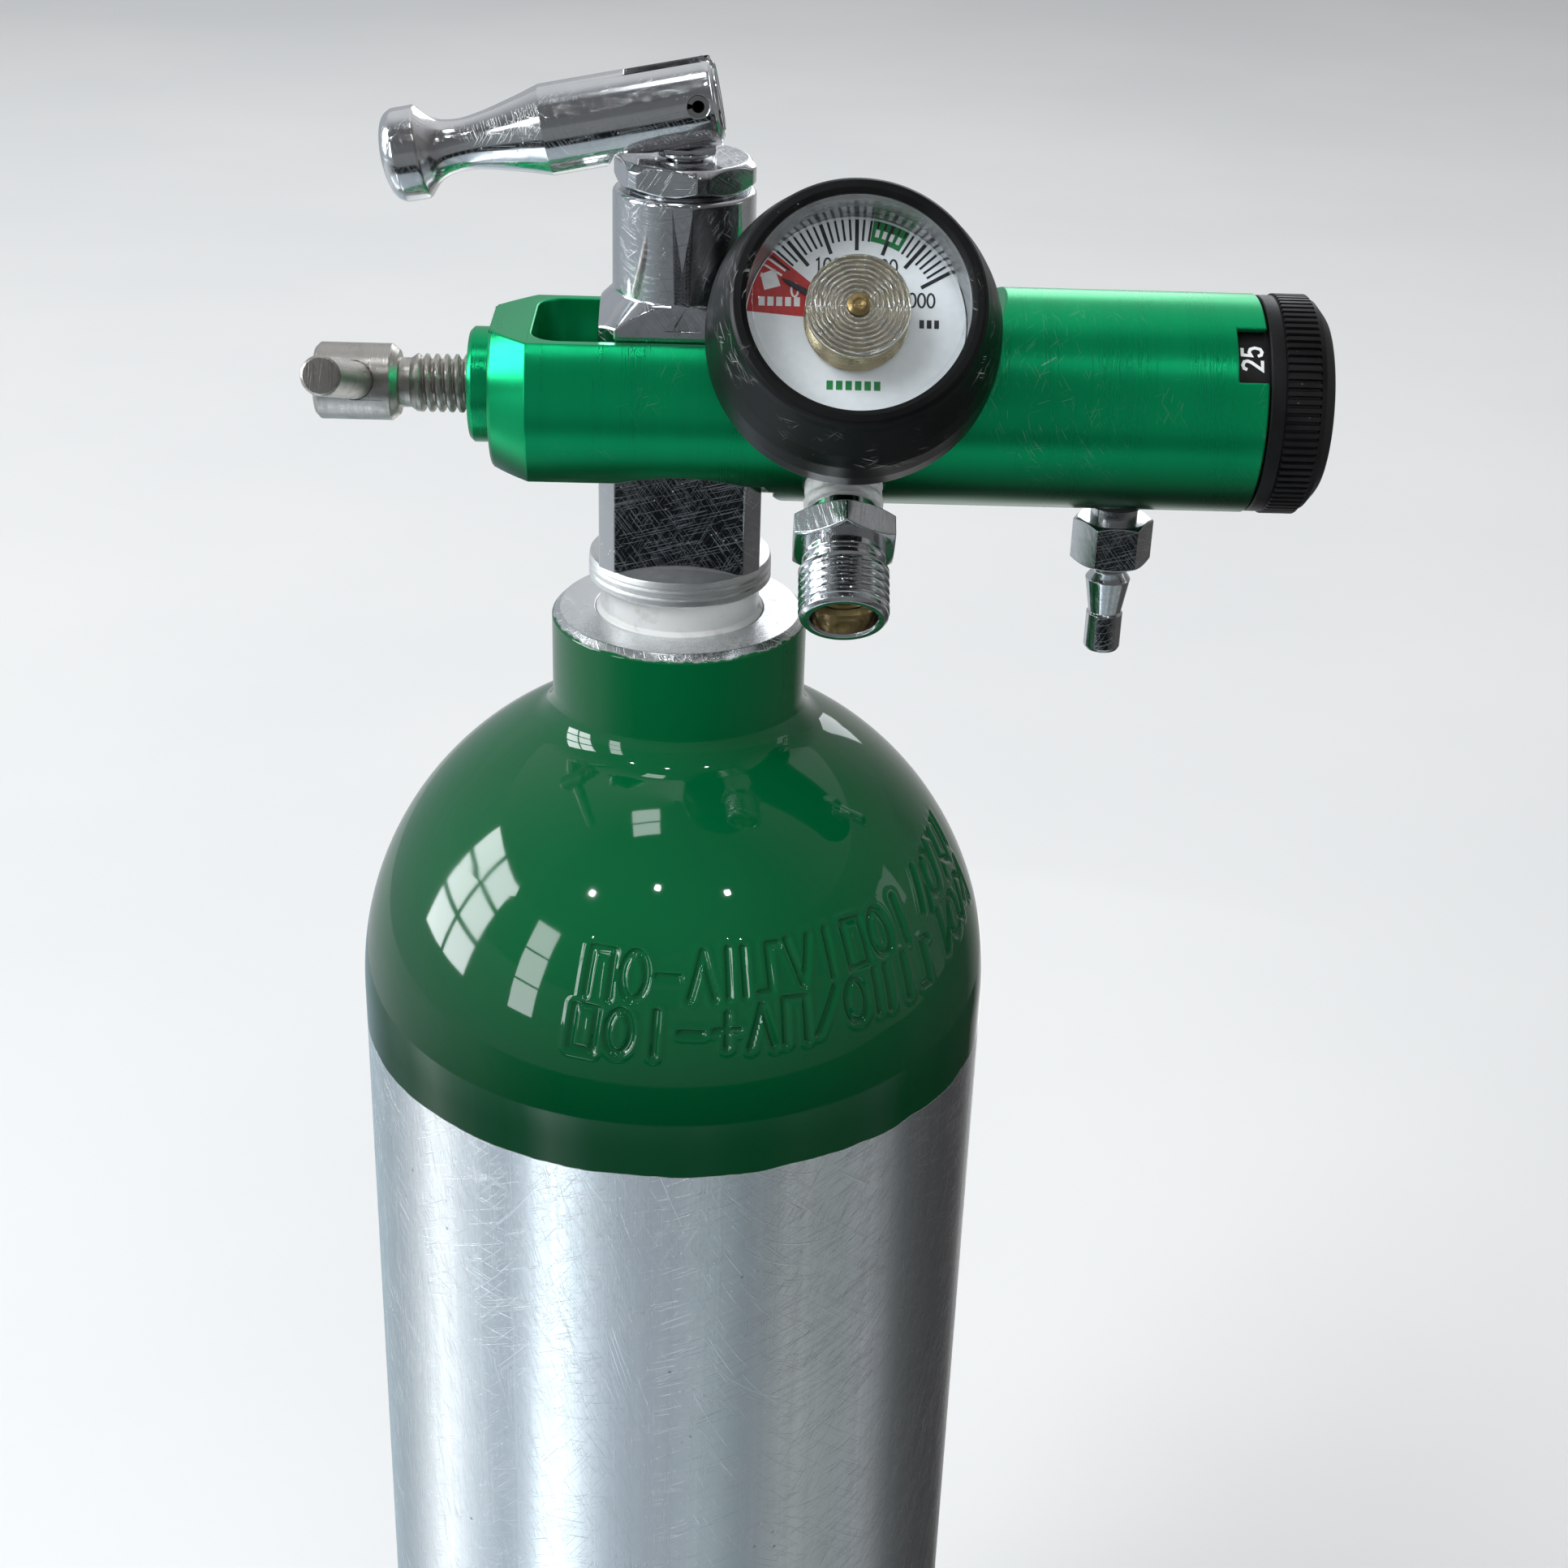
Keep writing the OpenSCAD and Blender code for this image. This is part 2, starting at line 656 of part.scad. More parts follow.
module flow_knob() {
    ribs = 84;
    rib_x = 94.2;
    rib_end = 99.6;
    step = 360 / ribs;
    outline = [
        for (i = [0 : ribs - 1])
            each [
                knob_r * [cos(i * step), sin(i * step)],
                knob_r * [cos((i + 0.45) * step), sin((i + 0.45) * step)],
                (knob_r - 0.45) * [cos((i + 0.6) * step), sin((i + 0.6) * step)],
                (knob_r - 0.45) * [cos((i + 0.85) * step), sin((i + 0.85) * step)]
            ]
    ];
    color(rubber) on_regulator() difference() {
        union() {
            rotate_extrude() polygon([
                [0, knob_x], [knob_r - 0.3, knob_x], [knob_r - 0.3, rib_x], [knob_r - 0.5, rib_x],
                [knob_r - 0.5, rib_end], [knob_r - 0.9, rib_end + 0.8], [14.8, knob_end - 0.4],
                [14.2, knob_end], [0, knob_end]
            ]);
            translate([0, 0, rib_x]) linear_extrude(height = rib_end - rib_x) polygon(outline);
            translate([0, 0, 80.5]) cylinder(r = 3, h = knob_x - 80);
        }
        difference() {
            translate([0, 0, knob_x - eps]) cylinder(r = drum_bore_r - gap, h = 1.5 + eps);
            translate([0, 0, knob_x - 1]) cylinder(r = 8, h = 3);
        }
        translate([0, 0, knob_end - 1]) cylinder(r = 9, h = 2);
        translate([0, 0, 84]) cylinder(r = 1.5, h = 20);
        translate([0, 0, knob_end - 4]) cylinder(r = 3, h = 4);
    }
}

module knob_screw() {
    color(steel) on_regulator() difference() {
        union() {
            translate([0, 0, 85]) cylinder(r = 1.5, h = 14);
            translate([0, 0, knob_end - 4]) cylinder(r = 2.8, h = 2);
        }
        translate([0, 0, knob_end - 3.2]) cylinder(r = 1.4, h = 2, $fn = 6);
    }
}

module knob_cap() {
    color(rubber) on_regulator() translate([0, 0, knob_end - 1]) cylinder(r = 8.9, h = 0.9);
}

// Gauge
module gauge_stem() {
    color(brass) on_gauge() difference() {
        union() {
            translate([0, 0, 9.2]) cylinder(r = 5, h = 7.4);
            translate([0, 0, 16.5]) rotate(45) translate([-5, -5, 0]) cube([10, 10, 3.6]);
        }
        translate([0, 0, 8]) cylinder(r = 1, h = deep);
    }
}

module gauge_case() {
    color(steel) on_gauge() translate([0, 0, 20.1]) difference() {
        cylinder(r = case_r, h = 22.9);
        translate([0, 0, 1.6]) cylinder(r = case_r - 0.8, h = 30);
        translate([0, 0, -1]) cylinder(r = 1, h = 4);
    }
}

module gauge_boot() {
    // the moulded rubber cover, thick round its back and thin at its rim
    color(rubber) on_gauge() rotate_extrude($fn = 96) difference() {
        polygon([
            [0, 18.2], [14, 18.2], [17.2, 18.8], [19.6, 20.2], [21.3, 22.2], [22.1, 24.2], [boot_r, 26.8],
            [boot_r, 29.8], [21.95, 33], [21.1, 36], [19.9, 39.2], [19.1, 41.6], [rim_r, 43.2],
            [rim_r - 0.5, 43.8], [rim_r - 1.6, 43.9], [16.3, 43.5], [16.3, 42.9], [0, 42.9]
        ]);
        translate([0, 20.1]) square([case_r, 22.9]);
        square([7.6, 25]);
    }
}

module gauge_dial() {
    color("white") on_gauge() translate([0, 0, dial_z]) tube(case_r - 0.8, 1.2, 0.6);
}

module bourdon_coil() {
    // a flat strip wound into a tight helical coil, with a spiral front
    turns = 7;
    pitch = coil_h / turns;
    ring_step = 0.72;
    rings = 8;
    color(brass) on_gauge() translate([0, 0, coil_z]) difference() {
        rotate_extrude() polygon(concat(
            [[1.3, 0]],
            [
                for (i = [0 : turns - 1])
                    each [
                        [coil_r - 0.3, i * pitch], [coil_r, (i + 0.3) * pitch],
                        [coil_r, (i + 0.7) * pitch], [coil_r - 0.3, (i + 1) * pitch]
                    ]
            ],
            [[1.3, coil_h]]
        ));
        for (i = [1 : rings])
            translate([0, 0, coil_h - 0.3]) tube(1.6 + i * ring_step, 1.35 + i * ring_step, 1);
    }
}

module gauge_pointer() {
    color(rubber) on_gauge() rotate(zero_angle) translate([0, 0, coil_z - 0.5]) difference() {
        union() {
            cylinder(r = 1.9, h = 0.3);
            linear_extrude(height = 0.3)
                polygon([[-5, -0.8], [-5, 0.8], [0, 0.8], [14, 0.25], [14, -0.25], [0, -0.8]]);
        }
        translate([0, 0, -1]) cylinder(r = 0.9, h = 3);
    }
}

module pointer_shaft() {
    color(brass) on_gauge() {
        translate([0, 0, dial_z - 1]) cylinder(r = 0.9, h = coil_z - dial_z + coil_h + 1);
        translate([0, 0, coil_z + coil_h + 0.1]) cylinder(r1 = 1.7, r2 = 1.1, h = 0.45);
        translate([0, 0, coil_z + coil_h - 0.3]) cylinder(r = 0.9, h = 0.6);
    }
}

module gauge_crystal() {
    // the clear stepped cover, with a skirt that reaches down to the dial
    color([0.85, 0.92, 0.95, 0.35]) on_gauge() rotate_extrude() polygon([
        [0, glass_z + 0.1], [13.4, glass_z + 0.1], [14.2, glass_z - 0.6], [14.9, dial_z + 0.7],
        [case_r - 0.9, dial_z + 0.7], [case_r - 0.9, glass_z + 0.2], [15.9, glass_z + 0.2],
        [15.7, glass_z + 1.2], [15, glass_z + 1.6], [0, glass_z + 1.6]
    ]);
}

// Outlets
module outlet_body() {
    hex_z = 24.6;
    hex_h = 4.8;
    thread_z = 33.1;
    thread_pitch = 1.411;
    thread_turns = 5;
    color(chrome) on_outlet() difference() {
        union() {
            translate([0, 0, 10.1]) cylinder(r = 4.9, h = 10);
            translate([0, 0, 16.3]) cylinder(r = 5.5, h = hex_z - 16.2);
            translate([0, 0, hex_z]) hexagon(outlet_hex, hex_h, 30);
            translate([0, 0, hex_z + hex_h - eps]) cylinder(r = 6.6, h = 2);
            translate([0, 0, hex_z + hex_h + 1.5]) cylinder(r = 5.9, h = 3);
            translate([0, 0, thread_z]) threaded(outlet_r, thread_pitch, thread_turns);
            translate([0, 0, thread_z + thread_turns * thread_pitch - eps]) rotate_extrude() polygon([
                [0, 0], [outlet_r - 0.5, 0], [outlet_r - 0.2, 0.3], [outlet_r - 0.2, 0.9],
                [outlet_r - 0.7, outlet_end - thread_z - thread_turns * thread_pitch],
                [0, outlet_end - thread_z - thread_turns * thread_pitch]
            ]);
        }
        translate([0, 0, 9]) cylinder(r = 1.6, h = 20);
        translate([0, 0, 26]) cylinder(r = 4.1, h = deep);
        translate([0, 0, retainer_z]) cylinder(r = retainer_r, h = deep);
        translate([0, 0, mouth_z]) cylinder(r = mouth_r, h = deep);
    }
}

module outlet_tape() {
    color("white") on_outlet() rotate_extrude() polygon([
        [5.5, 16.5], [6.1, 16.5], [6.2, 18], [6.1, 19.6], [6.2, 20.6], [6, 22], [5.5, 22]
    ]);
}

module outlet_retainer() {
    // the ring that keeps the poppet in its bore
    edge_r = retainer_r - 0.02;
    color(brass) on_outlet() translate([0, 0, retainer_z]) rotate_extrude() polygon([
        [2.9, 0], [edge_r, 0], [edge_r, 0.5], [4, 1.1], [2.9, 1.1]
    ]);
}

module outlet_poppet() {
    back = 30;
    flange_end = retainer_z - 0.02;
    color(brass) on_outlet() difference() {
        union() {
            translate([0, 0, back]) cylinder(r = 1.9, h = 3);
            translate([0, 0, back + 2.8]) cylinder(r = 4, h = flange_end - back - 2.8);
            translate([0, 0, flange_end - eps]) cylinder(r = 2.8, h = 1.2);
        }
        translate([0, 0, flange_end + 0.4]) cylinder(r = 1.1, h = 2);
    }
}

module outlet_spring() {
    color(steel) on_outlet() translate([0, 0, 26.1]) coil_spring(3, 0.4, 6.6, 4);
}

module hose_barb() {
    color(chrome) on_barb() difference() {
        union() {
            translate([0, 0, 17.6]) cylinder(r = 3.9, h = port_h - 7.6 - 17.6);
            translate([0, 0, 10]) hexagon(barb_hex, 7.7);
            rotate_extrude() polygon([
                [0, -5.9], [2.75, -5.9], [3.05, -5.4], [3.05, 0.7], [2.75, 0.9], [3.65, 6.5], [3.75, 6.7],
                [3.75, 7], [2.75, 8.3], [2.75, 10.2], [0, 10.2]
            ]);
        }
        translate([0, 0, -7]) cylinder(r = 1.6, h = 45);
    }
}

module barb_seal() {
    color(rubber) on_barb() translate([0, 0, port_h - 17.15]) ring(4.45, 0.54);
}

bottle();
neck_seal();
valve_body();
debris_tube();
gland_nut();
packing_washer();
stem_packing();
valve_stem();
valve_seat();
stem_spring();
toggle_lever();
lever_pin();
relief_plug();
relief_disc();
yoke_washer();
regulator_body();
screw_bushing();
tee_screw();
tee_bar();
clamp_pad();
inlet_nipple();
inlet_filter();
index_pins();
pressure_seat();
piston();
piston_seals();
piston_spring();
flow_core();
core_seal();
orifice_disc();
detent_ball();
detent_spring();
bearing_plate();
retaining_ring();
flow_dial();
flow_knob();
knob_screw();
knob_cap();
gauge_stem();
gauge_case();
gauge_boot();
gauge_dial();
bourdon_coil();
gauge_pointer();
pointer_shaft();
gauge_crystal();
outlet_body();
outlet_tape();
outlet_poppet();
outlet_spring();
outlet_retainer();
hose_barb();
barb_seal();
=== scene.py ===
"""Oxygen cylinder with its valve, flow regulator, gauge and outlets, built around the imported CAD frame."""

import json
import math

import bmesh
import bpy
import numpy as np
from mathutils import Matrix, Vector


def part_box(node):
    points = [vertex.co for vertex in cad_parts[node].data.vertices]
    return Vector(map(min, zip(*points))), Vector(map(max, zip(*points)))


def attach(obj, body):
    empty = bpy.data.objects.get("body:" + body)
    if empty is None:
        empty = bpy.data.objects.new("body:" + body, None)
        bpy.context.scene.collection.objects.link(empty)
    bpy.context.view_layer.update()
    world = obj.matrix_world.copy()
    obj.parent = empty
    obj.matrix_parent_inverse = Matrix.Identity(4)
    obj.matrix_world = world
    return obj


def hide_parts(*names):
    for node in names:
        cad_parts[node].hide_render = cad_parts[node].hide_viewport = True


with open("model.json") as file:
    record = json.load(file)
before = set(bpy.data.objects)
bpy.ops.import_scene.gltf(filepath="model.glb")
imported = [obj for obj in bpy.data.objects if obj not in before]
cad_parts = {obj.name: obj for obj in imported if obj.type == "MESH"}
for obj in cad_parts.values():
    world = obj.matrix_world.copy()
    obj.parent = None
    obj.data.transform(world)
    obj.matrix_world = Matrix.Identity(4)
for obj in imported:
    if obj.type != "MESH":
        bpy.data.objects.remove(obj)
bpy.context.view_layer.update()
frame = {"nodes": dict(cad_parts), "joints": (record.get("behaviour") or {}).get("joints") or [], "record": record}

MM = 0.001
TURN = 2 * math.pi
JOINTS = {j["name"]: j for j in frame["joints"]}
MOUNTS = {m["name"]: m for m in frame["record"]["mounts"]}


def middle(node):
    low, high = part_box(node)
    return (low + high) / 2


# Places taken from the frame, in metres
NECK_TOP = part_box("bottle")[1].z
BOTTLE_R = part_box("bottle")[1].x
AXIS_Z = middle("flow_knob").z
PORTS_X = middle("gauge_boot").x
BARB_X = middle("hose_barb").x
PIN = Vector(JOINTS["lever_hinge"]["pos_m"])
GAUGE_OUT = -Vector(JOINTS["pointer_turn"]["axis"])
OUTLET_OUT = Vector(MOUNTS["oxygen_outlet"]["axis"])
LEVER_TILT = math.radians(11.3)


# Frames that the sub-assemblies are drawn in, from local millimetres to the row's metres
def placed(origin, out, side):
    """A frame at origin with local +Z along out and local +X along side."""
    z = Vector(out).normalized()
    x = Vector(side).normalized()
    y = z.cross(x)
    turned = Matrix((x, y, z)).transposed().to_4x4()
    return Matrix.Translation(origin) @ turned @ Matrix.Scale(MM, 4)


ON_NECK = placed((0, 0, NECK_TOP), (0, 0, 1), (1, 0, 0))
ON_REGULATOR = placed((0, 0, AXIS_Z), (1, 0, 0), (0, 0, -1))
ON_GAUGE = placed((PORTS_X, 0, AXIS_Z), GAUGE_OUT, (1, 0, 0))
ON_OUTLET = placed((PORTS_X, 0, AXIS_Z), OUTLET_OUT, (1, 0, 0))
ON_BARB = placed((BARB_X, 0, NECK_TOP), (0, 0, 1), (1, 0, 0))
LEVER_ALONG = Vector((math.cos(LEVER_TILT), 0, math.sin(LEVER_TILT)))
LEVER_UP = Vector((-math.sin(LEVER_TILT), 0, math.cos(LEVER_TILT)))
# the lever's turning axis runs 0.8 mm below its pin: local +Z towards the pin, local +X up
ON_LEVER = placed(PIN - LEVER_UP * 0.8 * MM, LEVER_ALONG, LEVER_UP)


# Mesh tools
def piece_from(name, points, faces, where=None):
    """A mesh object from local millimetre points."""
    mesh = bpy.data.meshes.new(name)
    moved = np.asarray(points, float)
    if where is not None:
        m = np.array(where)
        moved = moved @ m[:3, :3].T + m[:3, 3]
    mesh.from_pydata(moved.tolist(), [], faces)
    mesh.validate()
    obj = bpy.data.objects.new(name, mesh)
    bpy.context.scene.collection.objects.link(obj)
    face_outwards(obj)
    return obj


def face_outwards(obj):
    bm = bmesh.new()
    bm.from_mesh(obj.data)
    bmesh.ops.recalc_face_normals(bm, faces=bm.faces)
    bm.to_mesh(obj.data)
    bm.free()


def rounded(points, radius=0.3, steps=3):
    """The outline with its corners turned to arcs. A point's third value is its own radius."""
    out = [tuple(points[0][:2])]
    for before, corner, after in zip(points, points[1:], points[2:]):
        r = corner[2] if len(corner) > 2 else radius
        p = np.array(corner[:2], float)
        a, c = np.array(before[:2], float) - p, np.array(after[:2], float) - p
        len_a, len_c = np.linalg.norm(a), np.linalg.norm(c)
        a, c = a / len_a, c / len_c
        between = math.acos(max(-1, min(1, float(a @ c))))
        if r == 0 or between > math.pi - 0.05 or between < 0.05:
            out.append(tuple(p))
            continue
        cut = min(r / math.tan(between / 2), 0.45 * len_a, 0.45 * len_c)
        r = cut * math.tan(between / 2)
        centre = p + (a + c) / np.linalg.norm(a + c) * r / math.sin(between / 2)
        first, last = p + a * cut - centre, p + c * cut - centre
        start = math.atan2(first[1], first[0])
        sweep = math.atan2(last[1], last[0]) - start
        sweep = (sweep + math.pi) % TURN - math.pi
        for k in range(steps + 1):
            angle = start + sweep * k / steps
            out.append((centre[0] + r * math.cos(angle), centre[1] + r * math.sin(angle)))
    out.append(tuple(points[-1][:2]))
    return out


def revolve(name, outline, where, sides=96, angles=None, closed=False, shape=None):
    """A turned surface. shape(angle, radius, height) gives a new radius."""
    if angles is None:
        angles = [TURN * k / sides for k in range(sides)]
    count = len(angles)
    points, rings = [], []
    for r, z in outline:
        if r < 1e-6:
            rings.append([len(points)])
            points.append((0, 0, z))
            continue
        rings.append(list(range(len(points), len(points) + count)))
        for angle in angles:
            rr = shape(angle, r, z) if shape else r
            points.append((rr * math.cos(angle), rr * math.sin(angle), z))
    faces = []
    pairs = list(zip(rings, rings[1:]))
    if closed:
        pairs.append((rings[-1], rings[0]))
    for low, high in pairs:
        for k in range(count):
            n = (k + 1) % count
            if len(low) == 1 and len(high) == 1:
                continue
            if len(low) == 1:
                faces.append((low[0], high[n], high[k]))
            elif len(high) == 1:
                faces.append((low[k], low[n], high[0]))
            else:
                faces.append((low[k], low[n], high[n], high[k]))
    return piece_from(name, points, faces, where)


def prism(name, outline, low, high, where):
    """A straight-sided solid on an (x, y) outline."""
    n = len(outline)
    points = [(x, y, low) for x, y in outline] + [(x, y, high) for x, y in outline]
    faces = [tuple(range(n))[::-1], tuple(range(n, 2 * n))]
    faces += [(k, (k + 1) % n, n + (k + 1) % n, n + k) for k in range(n)]
    return piece_from(name, points, faces, where)


def circle(radius, sides=64, centre=(0, 0)):
    return [
        (centre[0] + radius * math.cos(TURN * k / sides), centre[1] + radius * math.sin(TURN * k / sides))
        for k in range(sides)
    ]


def baked(obj):
    """The object with its modifiers made part of its mesh."""
    graph = bpy.context.evaluated_depsgraph_get()
    mesh = bpy.data.meshes.new_from_object(obj.evaluated_get(graph))
    obj.modifiers.clear()
    obj.data = mesh
    return obj


def combine(obj, other, how="DIFFERENCE"):
    mod = obj.modifiers.new("combine", "BOOLEAN")
    mod.operation = how
    mod.solver = "EXACT"
    mod.object = other
    baked(obj)
    bpy.data.objects.remove(other)
    return obj


def cut(obj, *others):
    for other in others:
        combine(obj, other, "DIFFERENCE")
    return obj


def softened(obj, width, steps=2, angle=32):
    """Every sharp edge turned to a small radius, in millimetres."""
    bm = bmesh.new()
    bm.from_mesh(obj.data)
    bmesh.ops.remove_doubles(bm, verts=bm.verts, dist=2e-6)
    bmesh.ops.dissolve_limit(
        bm, angle_limit=math.radians(0.4), verts=bm.verts, edges=bm.edges, use_dissolve_boundaries=False
    )
    bm.to_mesh(obj.data)
    bm.free()
    mod = obj.modifiers.new("soften", "BEVEL")
    mod.width = width * MM
    mod.segments = steps
    mod.limit_method = "ANGLE"
    mod.angle_limit = math.radians(angle)
    mod.use_clamp_overlap = False
    mod.harden_normals = False
    return baked(obj)


def smoothed(obj, angle=48):
    for polygon in obj.data.polygons:
        polygon.use_smooth = True
    obj.data.set_sharp_from_angle(angle=math.radians(angle))
    mod = obj.modifiers.new("weighted", "WEIGHTED_NORMAL")
    mod.keep_sharp = True
    mod.weight = 60
    return obj


def settle(obj, body, material, nodes=(), angle=48):
    """Gives the finished piece its shading, its material and its place on a CAD body."""
    obj.data.materials.clear()
    obj.data.materials.append(material)
    smoothed(obj, angle)
    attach(obj, body)
    if nodes:
        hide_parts(*nodes)
    return obj


# Materials. Texture coordinates are the object's own, which are the row's metres.
class Surface:
    """A node-based material with one Principled shader."""

    def __init__(self, name, **sockets):
        self.material = bpy.data.materials.new(name)
        self.material.use_nodes = True
        self.tree = self.material.node_tree
        self.shader = self.tree.nodes["Principled BSDF"]
        self.place = self.tree.nodes.new("ShaderNodeTexCoord").outputs["Object"]
        self.bumps = None
        self.set(**sockets)

    def set(self, **sockets):
        for key, value in sockets.items():
            socket = self.shader.inputs[key.replace("_", " ")]
            if isinstance(value, bpy.types.NodeSocket):
                self.tree.links.new(value, socket)
            elif isinstance(value, (tuple, list)) and len(value) == 3:
                socket.default_value = (*value, 1)
            else:
                socket.default_value = value
        return self

    def link(self, value, socket):
        if isinstance(value, bpy.types.NodeSocket):
            self.tree.links.new(value, socket)
        elif isinstance(value, (tuple, list)) and socket.type == "RGBA":
            socket.default_value = (*value[:3], 1)
        else:
            socket.default_value = value

    def math(self, operation, a, b=0.0, clamp=False):
        node = self.tree.nodes.new("ShaderNodeMath")
        node.operation = operation
        node.use_clamp = clamp
        self.link(a, node.inputs[0])
        self.link(b, node.inputs[1])
        return node.outputs[0]

    def ramp(self, value, low, high, to_low=0.0, to_high=1.0, smooth=True):
        node = self.tree.nodes.new("ShaderNodeMapRange")
        node.interpolation_type = "SMOOTHSTEP" if smooth else "LINEAR"
        self.link(value, node.inputs["Value"])
        for key, number in (("From Min", low), ("From Max", high), ("To Min", to_low), ("To Max", to_high)):
            self.link(number, node.inputs[key])
        return node.outputs[0]

    def mix(self, factor, a, b):
        node = self.tree.nodes.new("ShaderNodeMix")
        node.data_type = "RGBA"
        self.link(factor, node.inputs[0])
        self.link(a, node.inputs[6])
        self.link(b, node.inputs[7])
        return node.outputs[2]

    def blend(self, factor, a, b):
        node = self.tree.nodes.new("ShaderNodeMix")
        node.data_type = "FLOAT"
        self.link(factor, node.inputs[0])
        self.link(a, node.inputs[2])
        self.link(b, node.inputs[3])
        return node.outputs[0]

    def stretched(self, scale, turn=(0, 0, 0)):
        node = self.tree.nodes.new("ShaderNodeMapping")
        node.inputs["Rotation"].default_value = turn
        # a turn comes before the stretch, so that the streaks lie along the turned axes
        node.vector_type = "TEXTURE"
        node.inputs["Scale"].default_value = [1 / s for s in scale]
        self.tree.links.new(self.place, node.inputs["Vector"])
        return node.outputs[0]

    def noise(self, scale, detail=3.0, rough=0.5, at=None, distort=0.0):
        node = self.tree.nodes.new("ShaderNodeTexNoise")
        node.inputs["Scale"].default_value = scale
        node.inputs["Detail"].default_value = detail
        node.inputs["Roughness"].default_value = rough
        node.inputs["Distortion"].default_value = distort
        self.tree.links.new(at or self.place, node.inputs["Vector"])
        return node.outputs["Fac"]

    def cells(self, scale, at=None, feature="F1"):
        node = self.tree.nodes.new("ShaderNodeTexVoronoi")
        node.feature = feature
        node.inputs["Scale"].default_value = scale
        self.tree.links.new(at or self.place, node.inputs["Vector"])
        return node.outputs["Distance"]

    def height(self, axis="Z"):
        node = self.tree.nodes.new("ShaderNodeSeparateXYZ")
        self.tree.links.new(self.place, node.inputs[0])
        return node.outputs[axis]

    def bump(self, value, depth_mm, strength=1.0):
        node = self.tree.nodes.new("ShaderNodeBump")
        node.inputs["Strength"].default_value = strength
        node.inputs["Distance"].default_value = depth_mm * MM
        self.tree.links.new(value, node.inputs["Height"])
        if self.bumps:
            self.tree.links.new(self.bumps, node.inputs["Normal"])
        self.bumps = node.outputs[0]
        self.tree.links.new(self.bumps, self.shader.inputs["Normal"])
        return self

    def scratches(self, turns, width, length, keep=0.7):
        """Thin broken lines, one family for each turn. width and length are in metres."""
        total = None
        for k, turn in enumerate(turns):
            at = self.stretched((1 / width, 1 / length, 1 / length), turn)
            lines = self.ramp(self.noise(1.0, 0.0, 0.5, at), keep, keep + 0.06)
            total = lines if total is None else self.math("MAXIMUM", total, lines)
        return total


DIAGONALS = [
    (0, 0.5, 0.35), (0, -0.62, -0.3), (0, 0.95, 1.2), (0, -0.25, -1.1), (0, 0.18, 2.1), (0, -1.1, 2.6)
]
PAINT_LOW = NECK_TOP - 0.0772
RIM_LOW = NECK_TOP - 0.0009


def bottle_finish():
    """Gloss paint over the shoulder with painted shade towards its lower edge, bare aluminium drawn lengthwise
    below it, and a worn top rim.
    """
    s = Surface("bottle_finish")
    z = s.height()
    wobble = s.ramp(s.noise(90, 3), 0.3, 0.7, -0.00035, 0.00035, False)
    edge = s.math("ADD", z, wobble)
    painted = s.ramp(edge, PAINT_LOW - 0.00012, PAINT_LOW + 0.00012)
    chips = s.ramp(s.noise(420, 4, 0.6), 0.35, 0.65, -0.00016, 0.00016)
    rim = s.ramp(s.math("ADD", z, chips), RIM_LOW - 0.0002, RIM_LOW + 0.0002)
    painted = s.math("MULTIPLY", painted, s.math("SUBTRACT", 1.0, rim), True)

    green_tone_and_painted_shade = s.mix(s.ramp(s.noise(14, 3), 0.3, 0.75), (0.0, 0.082, 0.024), (0.0005, 0.102, 0.031))
    # painted shade: the green darkens towards the paint's lower edge, on top of its own uneven tone
    green_tone_and_painted_shade = s.mix(s.ramp(z, PAINT_LOW, PAINT_LOW + 0.045, 0.8, 0.0), green_tone_and_painted_shade, (0.0, 0.020, 0.006))
    drawn = s.noise(1.0, 4, 0.6, s.stretched((520, 520, 4)))
    fine = s.noise(1.0, 3, 0.6, s.stretched((2600, 2600, 14)))
    cloudy = s.noise(26, 4, 0.6)
    scored = s.scratches(DIAGONALS, 0.00014, 0.024, 0.745)
    hair = s.scratches(DIAGONALS[::-1], 0.00007, 0.013, 0.76)
    worn = s.ramp(s.noise(11, 2), 0.42, 0.62)
    scored = s.math("MULTIPLY", scored, worn)
    pits = s.ramp(s.cells(230), 0.05, 0.09, 1.0, 0.0)
    pits = s.math("MULTIPLY", pits, s.ramp(s.noise(60, 2), 0.58, 0.66))
    tone = s.ramp(s.math("ADD", s.math("MULTIPLY", drawn, 0.5), s.math("MULTIPLY", cloudy, 0.5)), 0.2, 0.8)
    bare = s.mix(tone, (0.72, 0.735, 0.75), (0.82, 0.83, 0.84))
    bare = s.mix(s.math("MULTIPLY", scored, 0.55), bare, (0.93, 0.94, 0.95))
    bare = s.mix(s.math("MULTIPLY", pits, 0.7), bare, (0.28, 0.28, 0.28))
    rough = s.blend(tone, 0.30, 0.21)
    rough = s.math("ADD", rough, s.math("MULTIPLY", s.math("SUBTRACT", fine, 0.5), 0.16))
    rough = s.math("SUBTRACT", rough, s.math("MULTIPLY", scored, 0.1), True)
    paint_rough = s.ramp(s.noise(35, 4, 0.6), 0.35, 0.8, 0.035, 0.09)
    s.set(
        Base_Color=s.mix(painted, bare, green_tone_and_painted_shade),
        Metallic=s.math("SUBTRACT", 1.0, painted),
        Roughness=s.blend(painted, rough, paint_rough),
        Specular_IOR_Level=s.ramp(z, PAINT_LOW + 0.004, PAINT_LOW + 0.02, 0.14, 0.6),
    )
    s.bump(s.math("MULTIPLY", fine, s.math("SUBTRACT", 1.0, painted)), 0.008, 0.4)
    s.bump(s.math("MULTIPLY", s.math("MAXIMUM", scored, hair), s.math("SUBTRACT", 1.0, painted)), 0.04, 0.6)
    s.bump(s.math("MULTIPLY", s.noise(150, 2), painted), 0.04, 0.2)
    return s.material


